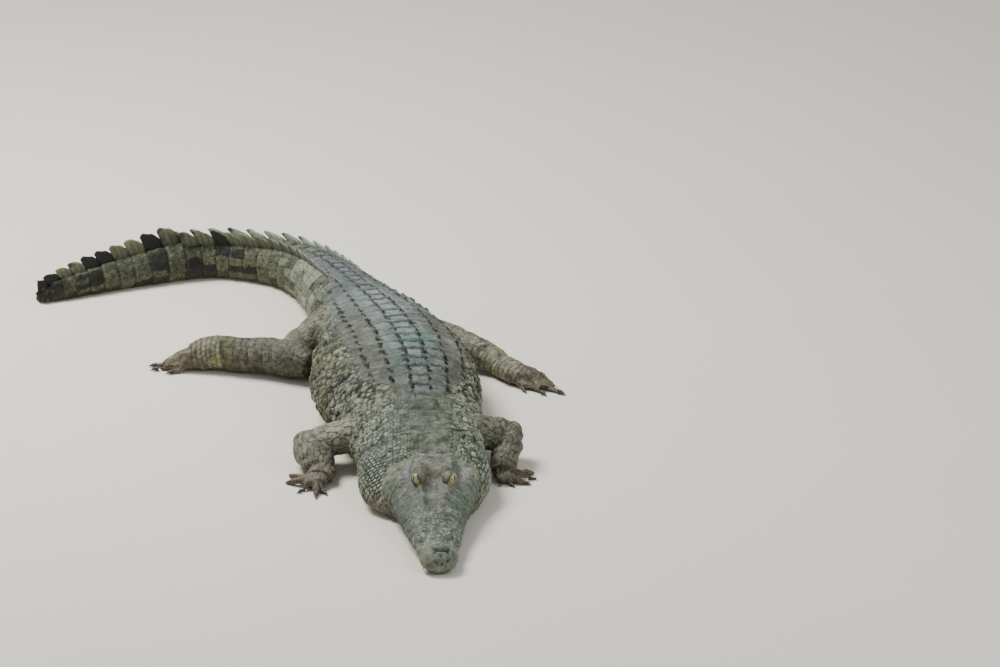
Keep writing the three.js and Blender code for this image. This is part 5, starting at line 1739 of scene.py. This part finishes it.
def joinedPiece(name, ringSets, colors, material):
    # many closed ring bodies as one mesh, with a flat-map patch for each
    body = Shells()
    flat = []
    for number, rings in enumerate(ringSets):
        body.add(rings)
        count, sides = rings.shape[:2]
        along, around = np.meshgrid(np.linspace(0.05, 0.95, count), np.linspace(0, 0.92, sides),
                                    indexing="ij")
        patch = np.stack([around, along], -1).reshape(-1, 2)
        patch = np.concatenate([patch, [[0.46, 0.0], [0.46, 1.0]]])
        flat.append((patch * 0.95 + [number % 8, number // 8]) / 8)
    return ringPiece(name, body, colors, material, np.concatenate(flat))


def rootToTip(look, share, full):
    # colours along a ring body, repeated round it, and for the point at each end; share runs from root to tip
    ramp = blend(linear(look["root"]) + 0 * share, linear(look["tip"]) + 0 * share,
                 smoothStep(share[:, 0], 0.2, full))
    return np.concatenate([np.repeat(ramp, look["sides"], 0), ramp[:1], ramp[-1:]])


clawLook = dict(root="352e28", tip="5d5448", rows=14, sides=12, wide=1.25, tall=1.4, taper=0.6)
clawMaterial = hornMaterial("scraped dark horn", 0.42, 2.5, 0.0006)
nodeNames = dict(foreRight="hand_right", foreLeft="hand_left", hindRight="foot_right", hindLeft="foot_left")
for limbName, nodeName in nodeNames.items():
    clawRings, colors = [], []
    for claw in [c for c in claws if c["limb"] == limbName]:
        line = stationLine(claw["stations"], clawLook["rows"])
        share = (line["t"] / line["length"])[:, None]
        for way, by in (("width", clawLook["wide"]), ("height", clawLook["tall"])):
            line[way] = line[way] * by * (1 - share[:, 0] ** 3 * clawLook["taper"])
        clawRings.append(limbRings(line, clawLook["sides"]))
        colors.append(rootToTip(clawLook, share, 1))
    piece = joinedPiece("claws_" + nodeName, clawRings, np.concatenate(colors), clawMaterial)
    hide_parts(*[f"claw_{nodeName}_{c['index']}" for c in claws if c["limb"] == limbName])
print("claws made:", len(claws))


# teeth: old ivory, the upper ones outside the lower jaw
teethLook = dict(root="968d6e", tip="c9c3a8", sides=10, rows=9)
# upper teeth: distance from the snout tip, length, half width
upperTeeth = [
    (0.018, 0.02, 0.008), (0.045, 0.026, 0.0095), (0.075, 0.022, 0.009), (0.105, 0.018, 0.008),
    (0.2, 0.016, 0.008), (0.235, 0.02, 0.009), (0.27, 0.027, 0.011), (0.31, 0.03, 0.012),
    (0.355, 0.024, 0.011), (0.4, 0.02, 0.01), (0.445, 0.018, 0.01), (0.49, 0.016, 0.009),
    (0.53, 0.014, 0.009),
]


def tooth(t, sign, length, width):
    share = np.linspace(0, 1, teethLook["rows"])
    half = skullWidth(np.array([t]))[0]
    mouth = smoothRows(skullRows, np.array([t]))[0, 2]
    inward = 0.021 - 0.009 * (t < 0.09)
    offset = skullLean(np.array([t]))[0] + sign * (half - inward + 0.003 * np.sin(np.pi * share * 0.7))
    drop = mouth + 0.008 - (length + 0.008) * share
    middle = beside(t + 0 * share, offset, drop)
    size = width * (1 - share**1.7 * 0.88) * 0.75
    turn = 2 * np.pi * np.arange(teethLook["sides"]) / teethLook["sides"]
    around = np.stack([np.cos(turn), np.sin(turn), 0 * turn], 1)
    return (middle[:, None] + size[:, None, None] * around[None])[::-1]


toothRings = [tooth(t, sign, length, width) for t, length, width in upperTeeth for sign in (-1, 1)]
oneTooth = rootToTip(teethLook, np.linspace(1, 0, teethLook["rows"])[:, None], 0.8)
colors = np.tile(oneTooth, (len(toothRings), 1))
toothPiece = joinedPiece("teeth", toothRings, colors, hornMaterial("stained tooth enamel", 0.35, 3.0, 0.0003))


# crest: two rows of upright leaf-shaped scutes that run together into one
crestLook = dict(first=2, rows=16, across=14, rootHalf=0.014, edgeHalf=0.0022, lean=0.32,
                 tall={-1: 1.45, 0: 1.0, 1: 0.9}, black=(13, 17, 20, 21, 24, 25))


def crestHeight(index):
    # how tall an upright scute stands: they grow along the double row and shrink along the single one
    if index < scuteRows["doubleCount"]:
        return 0.034 + 0.066 * (index / scuteRows["doubleCount"]) ** 1.3
    share = (index - scuteRows["doubleCount"]) / (len(whorls) - scuteRows["doubleCount"])
    return 0.15 - 0.088 * share


def leaf(index, sign):
    # one upright scute: sign -1 or 1 in the double row, right or left, and 0 in the single one
    start = whorls[index]
    end = whorls[index + 1] if index + 1 < len(whorls) else tailEnd
    length, tall = end - start, crestHeight(index)
    draw = cellTable[:, index, 77 + int(sign)]
    v = np.linspace(-0.25, 1, crestLook["rows"])[:, None]
    up = np.clip(v, 0, 1)
    late = np.clip((index - 8) / 8, 0, 1)
    tall = tall * crestLook["tall"][sign]
    front = -0.06 + 0.3 * up**2 + 0.05 * (draw[0] - 0.5) + 0.28 * (sign > 0)
    back = 0.97 + (0.46 - 0.06 * late) * up**0.9 + 0.08 * (draw[2] - 0.5) * up
    back = back + 0.5 * up**1.5 * (index == len(whorls) - 1)
    u = np.linspace(0, 1, crestLook["across"])[None]
    rounding = 1 - (0.55 if sign else 0.36) * (1 - u) ** 1.4 * up - 0.2 * np.abs(2 * u - 1) ** 6 * up
    nick = 0.02 * np.sin(11 * u + 12 * draw[1]) * up**3
    rise = v * rounding + nick
    share = front + (back - front) * u
    bulge = (1 - np.abs(2 * u - 1) ** 3) * (1 - 0.72 * up) * (1 - 0.8 * up**8)
    stripes = np.sin(2 * np.pi * (u * 3.2 + 0.6 * draw[2]))
    ridge = 0.0012 * stripes * up * (1 - np.abs(2 * u - 1) ** 4)
    half = (crestLook["edgeHalf"] * (1 - 0.6 * up**8)
            + (crestLook["rootHalf"] - crestLook["edgeHalf"]) * bulge + ridge)
    t = start + length * share
    offset = np.where(sign == 0, 0.0, sign * crestApart(t)) - 0.009 * (u - 0.5) * up
    root = skinBack(t, offset) - 0.012
    lean = sign * np.maximum(rise, 0) * tall * crestLook["lean"] + (0.06 * (draw[1] - 0.5)) * tall * up**2
    one = beside(t, offset + lean - half, root + rise * tall)
    two = beside(t, offset + lean + half, root + rise * tall)
    sheet = np.concatenate([one, two[:, ::-1]], 1)
    pale = np.clip(0.35 * up + 0.8 * up**5 + 0.5 * np.abs(2 * u - 1) ** 4 * up, 0, 1) + 0.25 * stripes
    pale = np.clip(pale, 0, 1)
    farPale = ("neck", "neckPale") if index % 3 else ("tailBlue", "temple")
    base, top = ("crest", "crestPale") if sign < 1 else farPale
    color = palette[base] + (palette[top] - palette[base]) * pale[..., None]
    early = fade(np.array(start), 3.9, 4.8)
    earlyColor = palette["limb"] + (palette["paleBlue"] - palette["limb"]) * pale[..., None]
    color = color * (1 - early) + early * earlyColor
    edgeDark = smoothStep(u + 0.35 * up + 0.1 * np.sin(9 * up + 20 * draw[0]), 1.0, 1.2)
    edgeDark = edgeDark * smoothStep(draw[1], 0.25, 0.6)
    color = color * (1 - 0.75 * edgeDark[..., None])
    if index in crestLook["black"] and sign < 1:
        color = palette["black"] * (0.9 + 0.8 * pale[..., None]) + 0 * color
    # painted shade at the front and the base of each scute, where the scute before it would shade it
    apart = 0.45 + 0.55 * smoothStep(u + 0.25 * up, 0.05, 0.35) * (0.6 + 0.4 * smoothStep(up, 0.0, 0.5))
    color = color * (0.85 + 0.3 * draw[2]) * apart[..., None]
    return sheet, np.concatenate([color, color[:, ::-1]], 1)


leafRings, leafColors = [], []
for index in range(crestLook["first"], len(whorls)):
    for sign in ((-1, 1) if index < scuteRows["doubleCount"] else (0,)):
        sheet, tint = leaf(index, sign)
        leafRings.append(sheet)
        flatTint = tint.reshape(-1, 3)
        leafColors.append(np.concatenate([flatTint, tint[0].mean(0)[None], tint[-1].mean(0)[None]]))
crestPiece = joinedPiece("crest_scutes", leafRings, np.concatenate(leafColors),
                         hornMaterial("upright horny scutes", 0.6, 9.0, 0.0012))
print("crest made:", len(leafRings), "scutes")
